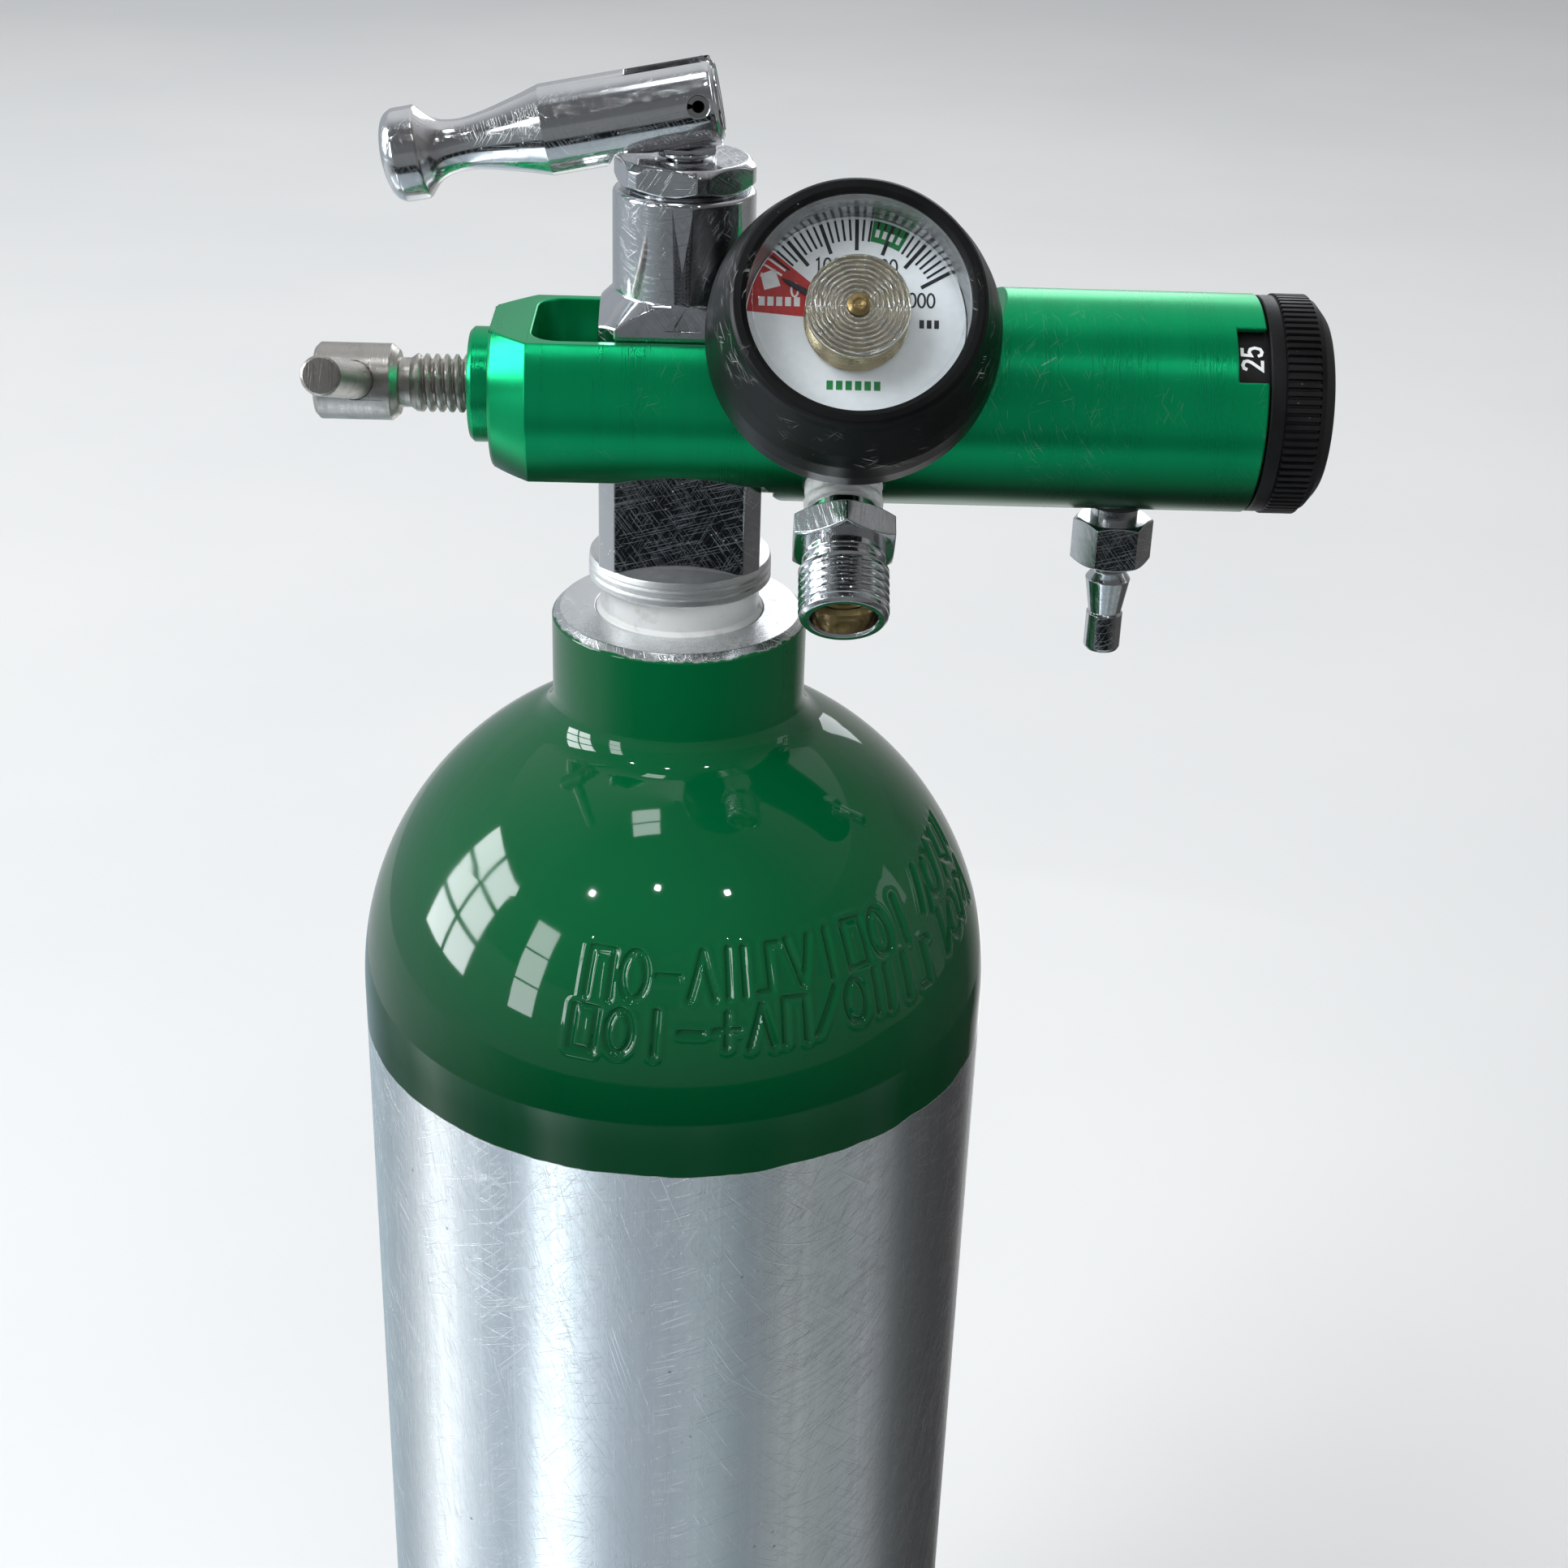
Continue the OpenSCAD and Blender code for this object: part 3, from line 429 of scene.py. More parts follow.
def chrome_finish(name, tint=(0.72, 0.73, 0.75), rough=0.07, dull=0.2, pitted=0.3):
    """Bright plating with finger smears, hair scratches and a few pits."""
    s = Surface(name)
    smear = s.ramp(s.noise(70, 4, 0.65), 0.35, 0.75)
    hair = s.scratches(DIAGONALS[:4], 0.00006, 0.008, 0.70)
    pits = s.math("MULTIPLY", s.ramp(s.cells(900), 0.08, 0.14, 1.0, 0.0), s.ramp(s.noise(220, 2), 0.56, 0.64))
    shade = s.mix(s.math("MULTIPLY", smear, 0.5), tint, tuple(0.84 * c for c in tint))
    shade = s.mix(s.math("MULTIPLY", pits, pitted), shade, (0.12, 0.11, 0.1))
    gloss = s.math("ADD", rough, s.math("MULTIPLY", smear, dull * 0.5))
    gloss = s.math("ADD", gloss, s.math("MULTIPLY", pits, 0.3), True)
    s.set(Base_Color=shade, Metallic=1.0, Roughness=gloss)
    s.bump(hair, 0.01, 0.35)
    s.bump(pits, 0.04, 0.5)
    return s.material


def turned_finish(name, tint, rough, axis, marks=0.5, dirt=(0.2, 0.19, 0.17), dirty=0.25, pitch=2600):
    """Machined metal with fine turning marks across its axis and a little dirt."""
    s = Surface(name)
    scale = {"X": (pitch, 30, 30), "Z": (30, 30, pitch), "Y": (30, pitch, 30)}[axis]
    lines = s.noise(1.0, 3, 0.65, s.stretched(scale))
    patches = s.ramp(s.noise(160, 4, 0.65), 0.45, 0.75)
    shade = s.mix(
        s.math("MULTIPLY", s.math("SUBTRACT", lines, 0.3), 0.6, True), tint, tuple(0.7 * c for c in tint)
    )
    shade = s.mix(s.math("MULTIPLY", patches, dirty), shade, dirt)
    gloss = s.math(
        "ADD", s.ramp(lines, 0.3, 0.7, rough - 0.06, rough + 0.08), s.math("MULTIPLY", patches, 0.18), True
    )
    s.set(Base_Color=shade, Metallic=1.0, Roughness=gloss)
    s.bump(lines, 0.012, marks)
    s.bump(s.scratches(DIAGONALS[1:4], 0.00008, 0.006, 0.69), 0.015, 0.4)
    return s.material


def anodised_finish():
    """Dyed green aluminium: satin, turned across its length, with small bright nicks and painted shade over its
    lower half.
    """
    s = Surface("anodised_finish")
    lines = s.noise(1.0, 3, 0.6, s.stretched((3600, 20, 20)))
    drift = s.noise(1.0, 3, 0.55, s.stretched((160, 18, 18)))
    cloud = s.ramp(s.noise(45, 4), 0.3, 0.7)
    tone = s.math("ADD", s.math("MULTIPLY", lines, 0.35), s.math("MULTIPLY", drift, 0.65))
    shade = s.mix(s.ramp(tone, 0.3, 0.7), (0.002, 0.40, 0.14), (0.003, 0.45, 0.16))
    shade = s.mix(s.math("MULTIPLY", cloud, 0.25), shade, (0.006, 0.40, 0.15))
    nick = s.scratches(DIAGONALS[:5], 0.00006, 0.004, 0.785)
    nick = s.math("MULTIPLY", nick, s.ramp(s.noise(40, 2), 0.54, 0.66))
    specks = s.math(
        "MULTIPLY", s.ramp(s.cells(620), 0.03, 0.05, 1.0, 0.0), s.ramp(s.noise(120, 2), 0.66, 0.72)
    )
    shade = s.mix(s.math("MULTIPLY", s.math("MAXIMUM", nick, specks), 0.6), shade, (0.4, 0.62, 0.46))
    # painted shade: the green darkens to near black below the regulator's axis
    shade = s.mix(s.ramp(s.height(), AXIS_Z - 0.012, AXIS_Z - 0.001, 0.88, 0.0), shade, (0.0, 0.03, 0.01))
    s.set(
        Base_Color=shade,
        Metallic=0.82,
        Specular_IOR_Level=0.3,
        Roughness=s.ramp(tone, 0.3, 0.7, 0.26, 0.30, False),
    )
    s.bump(lines, 0.006, 0.2)
    s.bump(nick, 0.01, 0.2)
    return s.material


def rubber_finish():
    """Black moulded rubber with a slight sheen, dust and pale scuffs."""
    s = Surface("rubber_finish")
    cloud = s.ramp(s.noise(55, 4, 0.6), 0.35, 0.7)
    scuff = s.math(
        "MULTIPLY", s.scratches(DIAGONALS[:4], 0.00016, 0.004, 0.735), s.ramp(s.noise(75, 2), 0.55, 0.63)
    )
    specks = s.math("MULTIPLY", s.ramp(s.cells(760), 0.06, 0.11, 1.0, 0.0), s.ramp(s.noise(90, 2), 0.6, 0.68))
    shade = s.mix(cloud, (0.0015, 0.0016, 0.0018), (0.0045, 0.0048, 0.005))
    marks = s.math("MAXIMUM", s.math("MULTIPLY", scuff, 0.6), s.math("MULTIPLY", specks, 0.35))
    shade = s.mix(marks, shade, (0.42, 0.43, 0.43))
    s.set(Base_Color=shade, Roughness=s.ramp(cloud, 0, 1, 0.36, 0.46, False), Specular_IOR_Level=0.22)
    s.bump(s.noise(900, 3), 0.02, 0.3)
    s.bump(cloud, 0.12, 0.25)
    return s.material


def plastic_finish(name, low, high, rough, grain=1400, grain_mm=0.015, dust=0.0):
    """Moulded plastic with a fine grain and slight shifts of tone."""
    s = Surface(name)
    cloud = s.ramp(s.noise(80, 4, 0.6), 0.3, 0.7)
    shade = s.mix(cloud, low, high)
    s.set(Specular_IOR_Level=0.3)
    if dust:
        fluff = s.math(
            "MULTIPLY", s.ramp(s.cells(800), 0.08, 0.15, 1.0, 0.0), s.ramp(s.noise(130, 2), 0.55, 0.64)
        )
        shade = s.mix(s.math("MULTIPLY", fluff, dust), shade, (0.5, 0.5, 0.49))
    s.set(Base_Color=shade, Roughness=s.ramp(cloud, 0, 1, rough - 0.05, rough + 0.08, False))
    s.bump(s.noise(grain, 3), grain_mm, 0.5)
    return s.material


def nylon_finish():
    """White nylon, slightly translucent, grimy where it meets the metal."""
    s = Surface("nylon_finish")
    grime = s.math("MULTIPLY", s.ramp(s.noise(260, 4, 0.65), 0.5, 0.72), 0.45)
    shade = s.mix(grime, (0.72, 0.735, 0.735), (0.33, 0.32, 0.29))
    s.set(Base_Color=shade, Roughness=s.ramp(grime, 0, 0.45, 0.3, 0.55, False), Subsurface_Weight=0.15)
    s.shader.inputs["Subsurface Scale"].default_value = 0.001
    s.bump(s.noise(500, 3), 0.03, 0.35)
    return s.material


def tape_finish():
    """White thread tape, wrapped in thin overlapping layers."""
    s = Surface("tape_finish")
    folds = s.noise(1.0, 4, 0.6, s.stretched((260, 900, 900), (0.66, 0, 0)))
    shade = s.mix(s.ramp(folds, 0.3, 0.7), (0.66, 0.68, 0.68), (0.84, 0.85, 0.85))
    s.set(Base_Color=shade, Roughness=0.42, Subsurface_Weight=0.1)
    s.shader.inputs["Subsurface Scale"].default_value = 0.0008
    s.bump(folds, 0.12, 0.6)
    return s.material


def printed_finish(name, low, high):
    """Printing ink or enamel on the dial, a little uneven."""
    s = Surface(name)
    even = s.ramp(s.noise(900, 3), 0.3, 0.7)
    s.set(Base_Color=s.mix(even, low, high), Roughness=s.ramp(even, 0, 1, 0.42, 0.52, False))
    s.bump(s.noise(2400, 2), 0.004, 0.3)
    return s.material


def crystal_finish():
    """A thin clear moulding: it lets light through and mirrors more towards its edges."""
    material = bpy.data.materials.new("crystal_finish")
    material.use_nodes = True
    tree = material.node_tree
    tree.nodes.remove(tree.nodes["Principled BSDF"])
    out = tree.nodes["Material Output"]
    place = tree.nodes.new("ShaderNodeTexCoord").outputs["Object"]
    haze = tree.nodes.new("ShaderNodeTexNoise")
    haze.inputs["Scale"].default_value = 240
    tree.links.new(place, haze.inputs["Vector"])
    rough = tree.nodes.new("ShaderNodeMapRange")
    rough.inputs["To Min"].default_value = 0.02
    rough.inputs["To Max"].default_value = 0.1
    tree.links.new(haze.outputs["Fac"], rough.inputs["Value"])
    mirror = tree.nodes.new("ShaderNodeBsdfGlossy")
    mirror.inputs["Color"].default_value = (1, 1, 1, 1)
    tree.links.new(rough.outputs[0], mirror.inputs["Roughness"])
    clear = tree.nodes.new("ShaderNodeBsdfTransparent")
    clear.inputs["Color"].default_value = (0.965, 0.975, 0.98, 1)
    fresnel = tree.nodes.new("ShaderNodeFresnel")
    fresnel.inputs["IOR"].default_value = 1.46
    mixer = tree.nodes.new("ShaderNodeMixShader")
    # the far skin of the moulding only lets light through
    outward = tree.nodes.new("ShaderNodeMath")
    outward.operation = "SUBTRACT"
    outward.use_clamp = True
    tree.links.new(fresnel.outputs[0], outward.inputs[0])
    tree.links.new(tree.nodes.new("ShaderNodeNewGeometry").outputs["Backfacing"], outward.inputs[1])
    tree.links.new(outward.outputs[0], mixer.inputs["Fac"])
    tree.links.new(clear.outputs[0], mixer.inputs[1])
    tree.links.new(mirror.outputs[0], mixer.inputs[2])
    tree.links.new(mixer.outputs[0], out.inputs["Surface"])
    return material


BOTTLE = bottle_finish()
VALVE_CHROME = chrome_finish("valve_chrome_finish", rough=0.07, dull=0.14, pitted=0.12)
LEVER_CHROME = chrome_finish("lever_chrome_finish", (0.82, 0.82, 0.83), 0.09, 0.12, 0.06)
OUTLET_CHROME = chrome_finish("outlet_chrome_finish", (0.74, 0.75, 0.76), 0.08, 0.2, 0.12)
FLANGE_METAL = turned_finish("flange_finish", (0.88, 0.88, 0.87), 0.36, "Z", 0.6, (0.45, 0.44, 0.42), 0.4)
NICKEL = turned_finish("nickel_finish", (0.56, 0.53, 0.49), 0.3, "X", 0.5, (0.16, 0.14, 0.12), 0.4)
BRASS = turned_finish("brass_finish", (0.62, 0.43, 0.18), 0.3, "Z", 0.4, (0.2, 0.13, 0.06), 0.3)
STEEL = turned_finish("pin_steel_finish", (0.5, 0.49, 0.47), 0.28, "Y", 0.3)
SPRING = turned_finish("spring_finish", (0.45, 0.44, 0.42), 0.32, "Z", 0.3)
ALLOY = turned_finish("alloy_finish", (0.7, 0.71, 0.72), 0.35, "X", 0.5)
BRONZE = turned_finish("sintered_bronze_finish", (0.42, 0.28, 0.14), 0.55, "Y", 0.8)
CASE_STEEL = turned_finish("case_steel_finish", (0.6, 0.6, 0.6), 0.3, "Z", 0.3)
COIL_BRASS = turned_finish("coil_brass_finish", (0.8, 0.66, 0.42), 0.26, "Y", 0.3, (0.4, 0.3, 0.17), 0.2)
COIL_FACE = chrome_finish("coil_face_finish", (0.97, 0.92, 0.82), 0.2, 0.1, 0.05)
GREEN = anodised_finish()
RUBBER = rubber_finish()
SEAL_RUBBER = plastic_finish("seal_rubber_finish", (0.006, 0.006, 0.006), (0.016, 0.016, 0.016), 0.5)
KNOB_PLASTIC = plastic_finish(
    "knob_plastic_finish", (0.003, 0.003, 0.0033), (0.008, 0.008, 0.0085), 0.42, 1100, 0.02, 0.12
)
DRUM_PLASTIC = plastic_finish("drum_plastic_finish", (0.003, 0.003, 0.003), (0.008, 0.008, 0.008), 0.35)
NYLON = nylon_finish()
TAPE = tape_finish()
DIAL_WHITE = printed_finish("dial_white_finish", (0.85, 0.89, 0.92), (0.9, 0.93, 0.95))
INK_BLACK = printed_finish("ink_black_finish", (0.01, 0.012, 0.015), (0.03, 0.033, 0.038))
INK_RED = printed_finish("ink_red_finish", (0.5, 0.018, 0.018), (0.6, 0.03, 0.028))
INK_GREEN = printed_finish("ink_green_finish", (0.01, 0.2, 0.05), (0.015, 0.26, 0.07))
INK_WHITE = printed_finish("ink_white_finish", (0.76, 0.78, 0.79), (0.86, 0.87, 0.88))
CRYSTAL = crystal_finish()


# Frames for cutters: x right, y back and z up from the regulator's axis, and one whose z runs backwards
ON_AXIS = placed((0, 0, AXIS_Z), (0, 0, 1), (1, 0, 0))
ACROSS = placed((0, 0, AXIS_Z), (0, 1, 0), (1, 0, 0))
ALL_THROUGH = 60


def rod(radius, low, high, where, sides=64):
    """A plain round cutter or core."""
    return prism("rod", circle(radius, sides), low, high, where)


def spread(low, high, step):
    """Evenly spaced heights from low to high."""
    count = max(2, round(abs(high - low) / step) + 1)
    return [low + (high - low) * k / (count - 1) for k in range(count)]


def helix_groove(low, high, pitch, depth, crest=0.3):
    """A radius change for revolve() that cuts a screw thread between two heights."""
    def shape(angle, radius, z):
        if not low < z < high:
            return radius
        phase = ((z - low) / pitch - angle / TURN) % 1
        groove = min(1, max(0, (abs(phase - 0.5) * 2 - crest) / (0.86 - crest)))
        fade = min(1, (z - low) / (0.7 * pitch), (high - z) / (0.7 * pitch))
        return radius - depth * groove * fade
    return shape


def hexagon(flats, turn=0.0):
    return [
        (flats / math.sqrt(3) * math.cos(math.radians(turn + 60 * k)),
         flats / math.sqrt(3) * math.sin(math.radians(turn + 60 * k)))
        for k in range(6)
    ]


def hex_nut(name, flats, low, high, where, turn=0.0, cap=None):
    """A hexagon with its corners turned off at both ends, or to a smaller radius throughout."""
    corner, flat = flats / math.sqrt(3), flats / 2
    slope = (corner - flat) * 0.6
    limit = cap or corner + 0.01
    nut = prism(name, hexagon(flats, turn), low, high, where)
    turned = revolve("turned", [
        (0, low - 0.01), (flat - 0.2, low - 0.01), (limit, low + slope), (limit, high - slope),
        (flat - 0.2, high + 0.01), (0, high + 0.01)
    ], where, 96)
    return combine(nut, turned, "INTERSECT")


# The bottle, with its stamped marks
SHAPES = {
    "ring": [[(2.0 * math.cos(TURN * k / 20), 3.3 * math.sin(TURN * k / 20)) for k in range(21)]],
    "bar": [[(0, -3.4), (0, 3.4)]],
    "dash": [[(-1.8, 0), (1.8, 0)]],
    "cross": [[(-2, 0), (2, 0)], [(0, -2.6), (0, 2.6)]],
    "chevron": [[(-2, -3.3), (0, 3.3), (2, -3.3)]],
    "valley": [[(-2, 3.3), (0, -3.3), (2, 3.3)]],
    "box": [[(-1.9, -3.3), (1.9, -3.3), (1.9, 3.3), (-1.9, 3.3), (-1.9, -3.3)]],
    "twins": [[(-1.3, -3.4), (-1.3, 3.4)], [(1.3, -3.4), (1.3, 3.4)]],
    "slash": [[(-1.9, -3.3), (1.9, 3.3)]],
    "gate": [[(-1.9, -3.4), (-1.9, 3.3), (1.9, 3.3), (1.9, -3.4)]],
    "steps": [[(-1.9, -3.3), (0, -3.3), (0, 3.3), (1.9, 3.3)]],
}
STAMP_ROWS = [
    # first mark's azimuth, spacing in degrees, middle height below the neck's top, lean in degrees, marks
    (-13.0, 6.45, -43.6, -2, [
        "gate", "ring", "dash", "chevron", "twins", "steps", "valley", "bar", "box", "ring", "bar",
    ]),
    (-15.0, 6.35, -52.0, -3, [
        "box", "ring", "bar", "dash", "cross", "chevron", "gate", "slash", "ring", "twins", "bar", "steps",
    ]),
    (62.0, 5.6, -41.5, -24, ["twins", "ring", "gate", "box", "bar"]),
    (64.0, 5.6, -49.5, -24, ["valley", "ring", "steps", "chevron"]),
]
STAMP_LOW, STAMP_HIGH = -57.5, -36.5
DOME_MIDDLE = -70.2


def stamp_segments():
    """Every stroke of every mark, as segments on the dome unrolled to millimetres."""
    rows = []
    for first, spacing, z, lean, marks in STAMP_ROWS:
        around = math.sqrt((BOTTLE_R / MM) ** 2 - (z - DOME_MIDDLE) ** 2)
        for k, mark in enumerate(marks):
            azimuth = math.radians(first + k * spacing)
            up = z + k * math.tan(math.radians(-lean)) * spacing * 0.35
            c, s = math.cos(math.radians(lean)), math.sin(math.radians(lean))
            for line in SHAPES[mark]:
                moved = [(azimuth + (x * c - y * s) / around, up + x * s + y * c) for x, y in line]
                rows += [(*a, *b) for a, b in zip(moved, moved[1:])]
    return np.array(rows)


STAMPS = stamp_segments()


def stamped(angle, radius, z):
    """The radius with the marks pressed in and the metal raised a little beside them."""
    if not STAMP_LOW < z < STAMP_HIGH:
        return radius
    azimuth = angle + math.pi / 2
    ax, az = (STAMPS[:, 0] - azimuth) * radius, (STAMPS[:, 1] - z) * 1.12
    bx, bz = (STAMPS[:, 2] - azimuth) * radius, (STAMPS[:, 3] - z) * 1.12
    dx, dz = bx - ax, bz - az
    t = np.clip(-(ax * dx + az * dz) / (dx * dx + dz * dz + 1e-12), 0, 1)
    away = math.sqrt(float(((ax + t * dx) ** 2 + (az + t * dz) ** 2).min()))
    pressed = 0.6 * math.exp(-((away / 0.5) ** 4))
    raised = 0.16 * math.exp(-(((away - 1.15) / 0.42) ** 2))
    return radius - pressed + raised


def bottle():
    big = BOTTLE_R / MM
    neck, fillet, base, rim = 21.4, 6.9, 9.0, 1.25
    low = -NECK_TOP / MM
    across = neck + fillet
    rise = DOME_MIDDLE + math.sqrt((big + fillet) ** 2 - across ** 2)
    touch = math.asin(across / (big + fillet))
    outline = [(0, low), (big - base, low)]
    outline += [
        (big - base + base * math.sin(a), low + base - base * math.cos(a))
        for a in spread(0.1, math.pi / 2, 0.16)
    ]
    outline += [(big, z) for z in spread(low + base + 4, DOME_MIDDLE - 3, 12)]
    last = math.pi / 2 - touch
    heights = [big * math.sin(a) for a in spread(0, last, 0.03)]
    heights = [h for h in heights if not STAMP_LOW < h + DOME_MIDDLE < STAMP_HIGH]
    heights = sorted(heights + [h - DOME_MIDDLE for h in spread(STAMP_LOW + 0.1, STAMP_HIGH - 0.1, 0.26)])
    outline += [(math.sqrt(big * big - h * h), h + DOME_MIDDLE) for h in heights]
    turn = spread(math.pi / 2 + (math.pi / 2 - last), math.pi, 0.07)
    outline += [(across + fillet * math.cos(a), rise - fillet * math.sin(a)) for a in turn[1:]]
    outline += rounded([
        (neck, rise + 2), (neck, -rim, 0.4), (neck - rim, 0, 0.4), (14.1, 0, 0.2), (14.1, -0.8, 0.1),
        (9.8, -0.8)
    ], 0.3)
    outline += [(9.6, -1), (9.6, -20), (0, -20)]
    fine = [math.radians(a) for a in spread(-35, 92, 0.33)]
    coarse = [math.radians(a) for a in spread(92, 325, 1.9)][1:-1]
    angles = [a - math.pi / 2 for a in fine + coarse]
    obj = revolve("bottle_shell", outline, ON_NECK, angles=angles, shape=stamped)
    return settle(obj, "housing", BOTTLE, ["bottle"])


def neck_seal():
    outline = rounded([
        (9.6, -0.8), (14, -0.8, 0.2), (14, 0.15, 0.25), (13.3, 0.75, 0.2), (13.3, 5.5, 0.2), (9.6, 5.5)
    ], 0.2)
    obj = revolve("seal_ring", outline, ON_NECK, 96, closed=True)
    return settle(obj, "housing", NYLON, ["neck_seal"])


# The valve
FLANGE_Z, POST_Z, SHOULDER_Z, BONNET_Z, BONNET_TOP = 5.6, 10.2, 50.2, 54.5, 70.3
NUT_Z, NUT_TOP = 70.8, 75.1


def valve_flange():
    groove = 0.35
    outline = rounded([
        (0, -20), (8.4, -20, 0.2), (9.4, -19, 0.2), (9.4, FLANGE_Z, 0.1), (14.8, FLANGE_Z, 0.2),
        (15.15, FLANGE_Z + 0.4, 0.2), (15.15, FLANGE_Z + 1.3, 0.1), (15.15 - groove, FLANGE_Z + 1.65, 0.15),
        (15.15, FLANGE_Z + 2.0, 0.1), (15.15, FLANGE_Z + 2.7, 0.1), (15.15 - groove, FLANGE_Z + 3.05, 0.15),
        (15.15, FLANGE_Z + 3.4, 0.1), (14.95, POST_Z - 0.2, 0.25), (11.2, POST_Z + 0.65, 0.3),
        (0, POST_Z + 0.7)
    ], 0.2)
    obj = revolve("valve_flange", outline, ON_NECK, 128)
    return settle(obj, "housing", FLANGE_METAL, ["valve_body"])


def valve_post():
    half_x, half_y, chamfer, bonnet = 13.1, 11.1, 2.7, 11.2
    corners = [(half_x - chamfer, -half_y), (half_x, -half_y + chamfer)]
    outline = corners + [(x, -y) for x, y in corners[::-1]]
    outline += [(-x, -y) for x, y in corners] + [(-x, y) for x, y in corners[::-1]]
    post = prism("valve_post", outline, POST_Z - 0.3, BONNET_Z, ON_NECK)
    cone = revolve("cone", [
        (0, POST_Z - 1), (20, POST_Z - 1), (20, SHOULDER_Z - 4.3), (bonnet, BONNET_Z), (0, BONNET_Z)
    ], ON_NECK, 128)
    combine(post, cone, "INTERSECT")
    barrel = revolve("barrel", [
        (0, BONNET_Z - 4), (bonnet, BONNET_Z - 4), (bonnet, BONNET_TOP - 0.5), (bonnet - 0.5, BONNET_TOP),
        (0, BONNET_TOP)
    ], ON_NECK, 128)
    combine(post, barrel, "UNION")
    relief = placed((0, 0, NECK_TOP + 16.5 * MM), (0, 1, 0), (1, 0, 0))
    cut(
        post,
        rod(8.5, 58, ALL_THROUGH + 20, ON_NECK),
        rod(4.2, half_y - 6, half_y + 2, relief),
        revolve(
            "dimple", [(0, -half_x + 3), (0.8, -half_x + 3), (4.1, -half_x - 0.1), (0, -half_x - 0.1)],
            ON_REGULATOR
        ),
        rod(3.35, half_x - 3, half_x + 1, ON_REGULATOR),
    )
    softened(post, 0.28, 2)
    return settle(post, "housing", VALVE_CHROME, ["valve_body"])


def gland_nut():
    nut = hex_nut("nut_top", 20.4, NUT_Z, NUT_TOP, ON_NECK, -15, 11.2)
    combine(nut, rod(8.4, 62, NUT_Z + 1, ON_NECK), "UNION")
    cut(nut, rod(3.05, 50, 90, ON_NECK))
    softened(nut, 0.18, 2)
    return settle(nut, "housing", VALVE_CHROME, ["gland_nut"])


def valve_stem():
    disc = NUT_TOP + 0.3
    outline = rounded([
        (0, 27), (4.6, 27, 0.2), (4.6, 29, 0.2), (3, 29, 0.1), (3, disc, 0.05), (4.35, disc, 0.15),
        (4.35, disc + 0.6, 0.2), (0, disc + 0.6)
    ], 0.15)
    stem = revolve("stem_turned", outline, ON_NECK, 64)
    tab = prism("stem_tab", rounded([
        (-3.1, 75.6), (4.8, 75.6), (4.8, 83.9, 2.4), (3.2, 86.7, 2.0), (0.6, 86.7, 1.6), (0, 83.9, 0.5),
        (-3.1, 83.9, 0.5), (-3.1, 75.6)
    ], 0.5)[:-1], -2, 2, placed((0, 0, NECK_TOP), (0, -1, 0), (1, 0, 0)))
    cut(tab, rod(1.7, -3, 3, placed(PIN, (0, 1, 0), (1, 0, 0))))
    softened(tab, 0.15)
    settle(stem, "stem", LEVER_CHROME, ["valve_stem"])
    return settle(tab, "stem", LEVER_CHROME, ["valve_stem"])


def toggle_lever():
    """The turned lever: a knob, a waist, a swelling cone and a slotted barrel."""
    profile = [
        (0, -49.6), (3.0, -49.4), (5.2, -48.85), (6.4, -48.1), (6.95, -47.2), (7.1, -46.4), (7.1, -43.6),
        (6.9, -43.2), (6.1, -42.5), (5.1, -41.5), (4.35, -40.1), (4.0, -38.4), (3.92, -36.8), (4.1, -35.0),
        (4.6, -32.4), (5.3, -29.6), (6.1, -26.6), (6.88, -24.0), (6.9, -23.8), (6.9, -12), (6.88, 1.35),
        (6.58, 2.05), (6.2, 2.6), (5.7, 2.92), (5.1, 3.1), (0, 3.1)
    ]
    sharp = ((7.1, -43.6), (6.88, -24.0))
    points = []
    for before, a, b, after in zip([profile[0]] + profile, profile, profile[1:], profile[2:] + [profile[-1]]):
        points.append(a)
        straight = b[1] - a[1] > 5 or a[0] < 0.1 or b[0] < 0.1 or a in sharp or b in sharp
        for t in () if straight else (0.25, 0.5, 0.75):
            points.append(tuple(
                0.5 * (
                    2 * q + (r - p) * t + (2 * p - 5 * q + 4 * r - s) * t * t
                    + (3 * q - p - 3 * r + s) * t ** 3
                )
                for p, q, r, s in zip(before, a, b, after)
            ))
    points.append(profile[-1])
    lever = revolve("lever_turned", points, ON_LEVER, 128)
    pin = placed(PIN, (0, 1, 0), (1, 0, 0))
    wide = placed(PIN, LEVER_ALONG, LEVER_UP)
    low_side = placed((0, 0, NECK_TOP), (0, 1, 0), (1, 0, 0))
    cut(
        lever,
        prism("slot", [(-12, -2.2), (12, -2.2), (12, 2.2), (-12, 2.2)], -10.4, 9.6, wide),
        rod(1.65, -10, 10, pin, 48),
        prism("under", circle(10.6, 128, (-2, -(NUT_TOP - 9))), -8, 8, low_side),
        rod(11.8, NUT_TOP - 8, NUT_TOP + 1.2, ON_NECK, 128),
    )
    softened(lever, 0.22, 2, 36)
    return settle(lever, "lever", LEVER_CHROME, ["toggle_lever"])


def lever_pin():
    """A rolled spring pin: a tube with a slit along it."""
    outer, inner, slit = 1.64, 0.95, math.radians(16)
    arc = [slit + (TURN - 2 * slit) * k / 40 for k in range(41)]
    outline = [(outer * math.cos(a), outer * math.sin(a)) for a in arc]
    outline += [(inner * math.cos(a), inner * math.sin(a)) for a in reversed(arc)]
    obj = prism("roll_pin", outline, -6.6, 6.6, placed(PIN, (0, 1, 0), (-1, 0, 0)))
    return settle(obj, "lever", STEEL, ["lever_pin"])


# The regulator
BODY_R, BODY_END = 17.5, 91.4
WINDOW_UP = math.radians(44)
WINDOW = placed((0, 0, AXIS_Z), (0, -math.cos(WINDOW_UP), math.sin(WINDOW_UP)), (1, 0, 0))


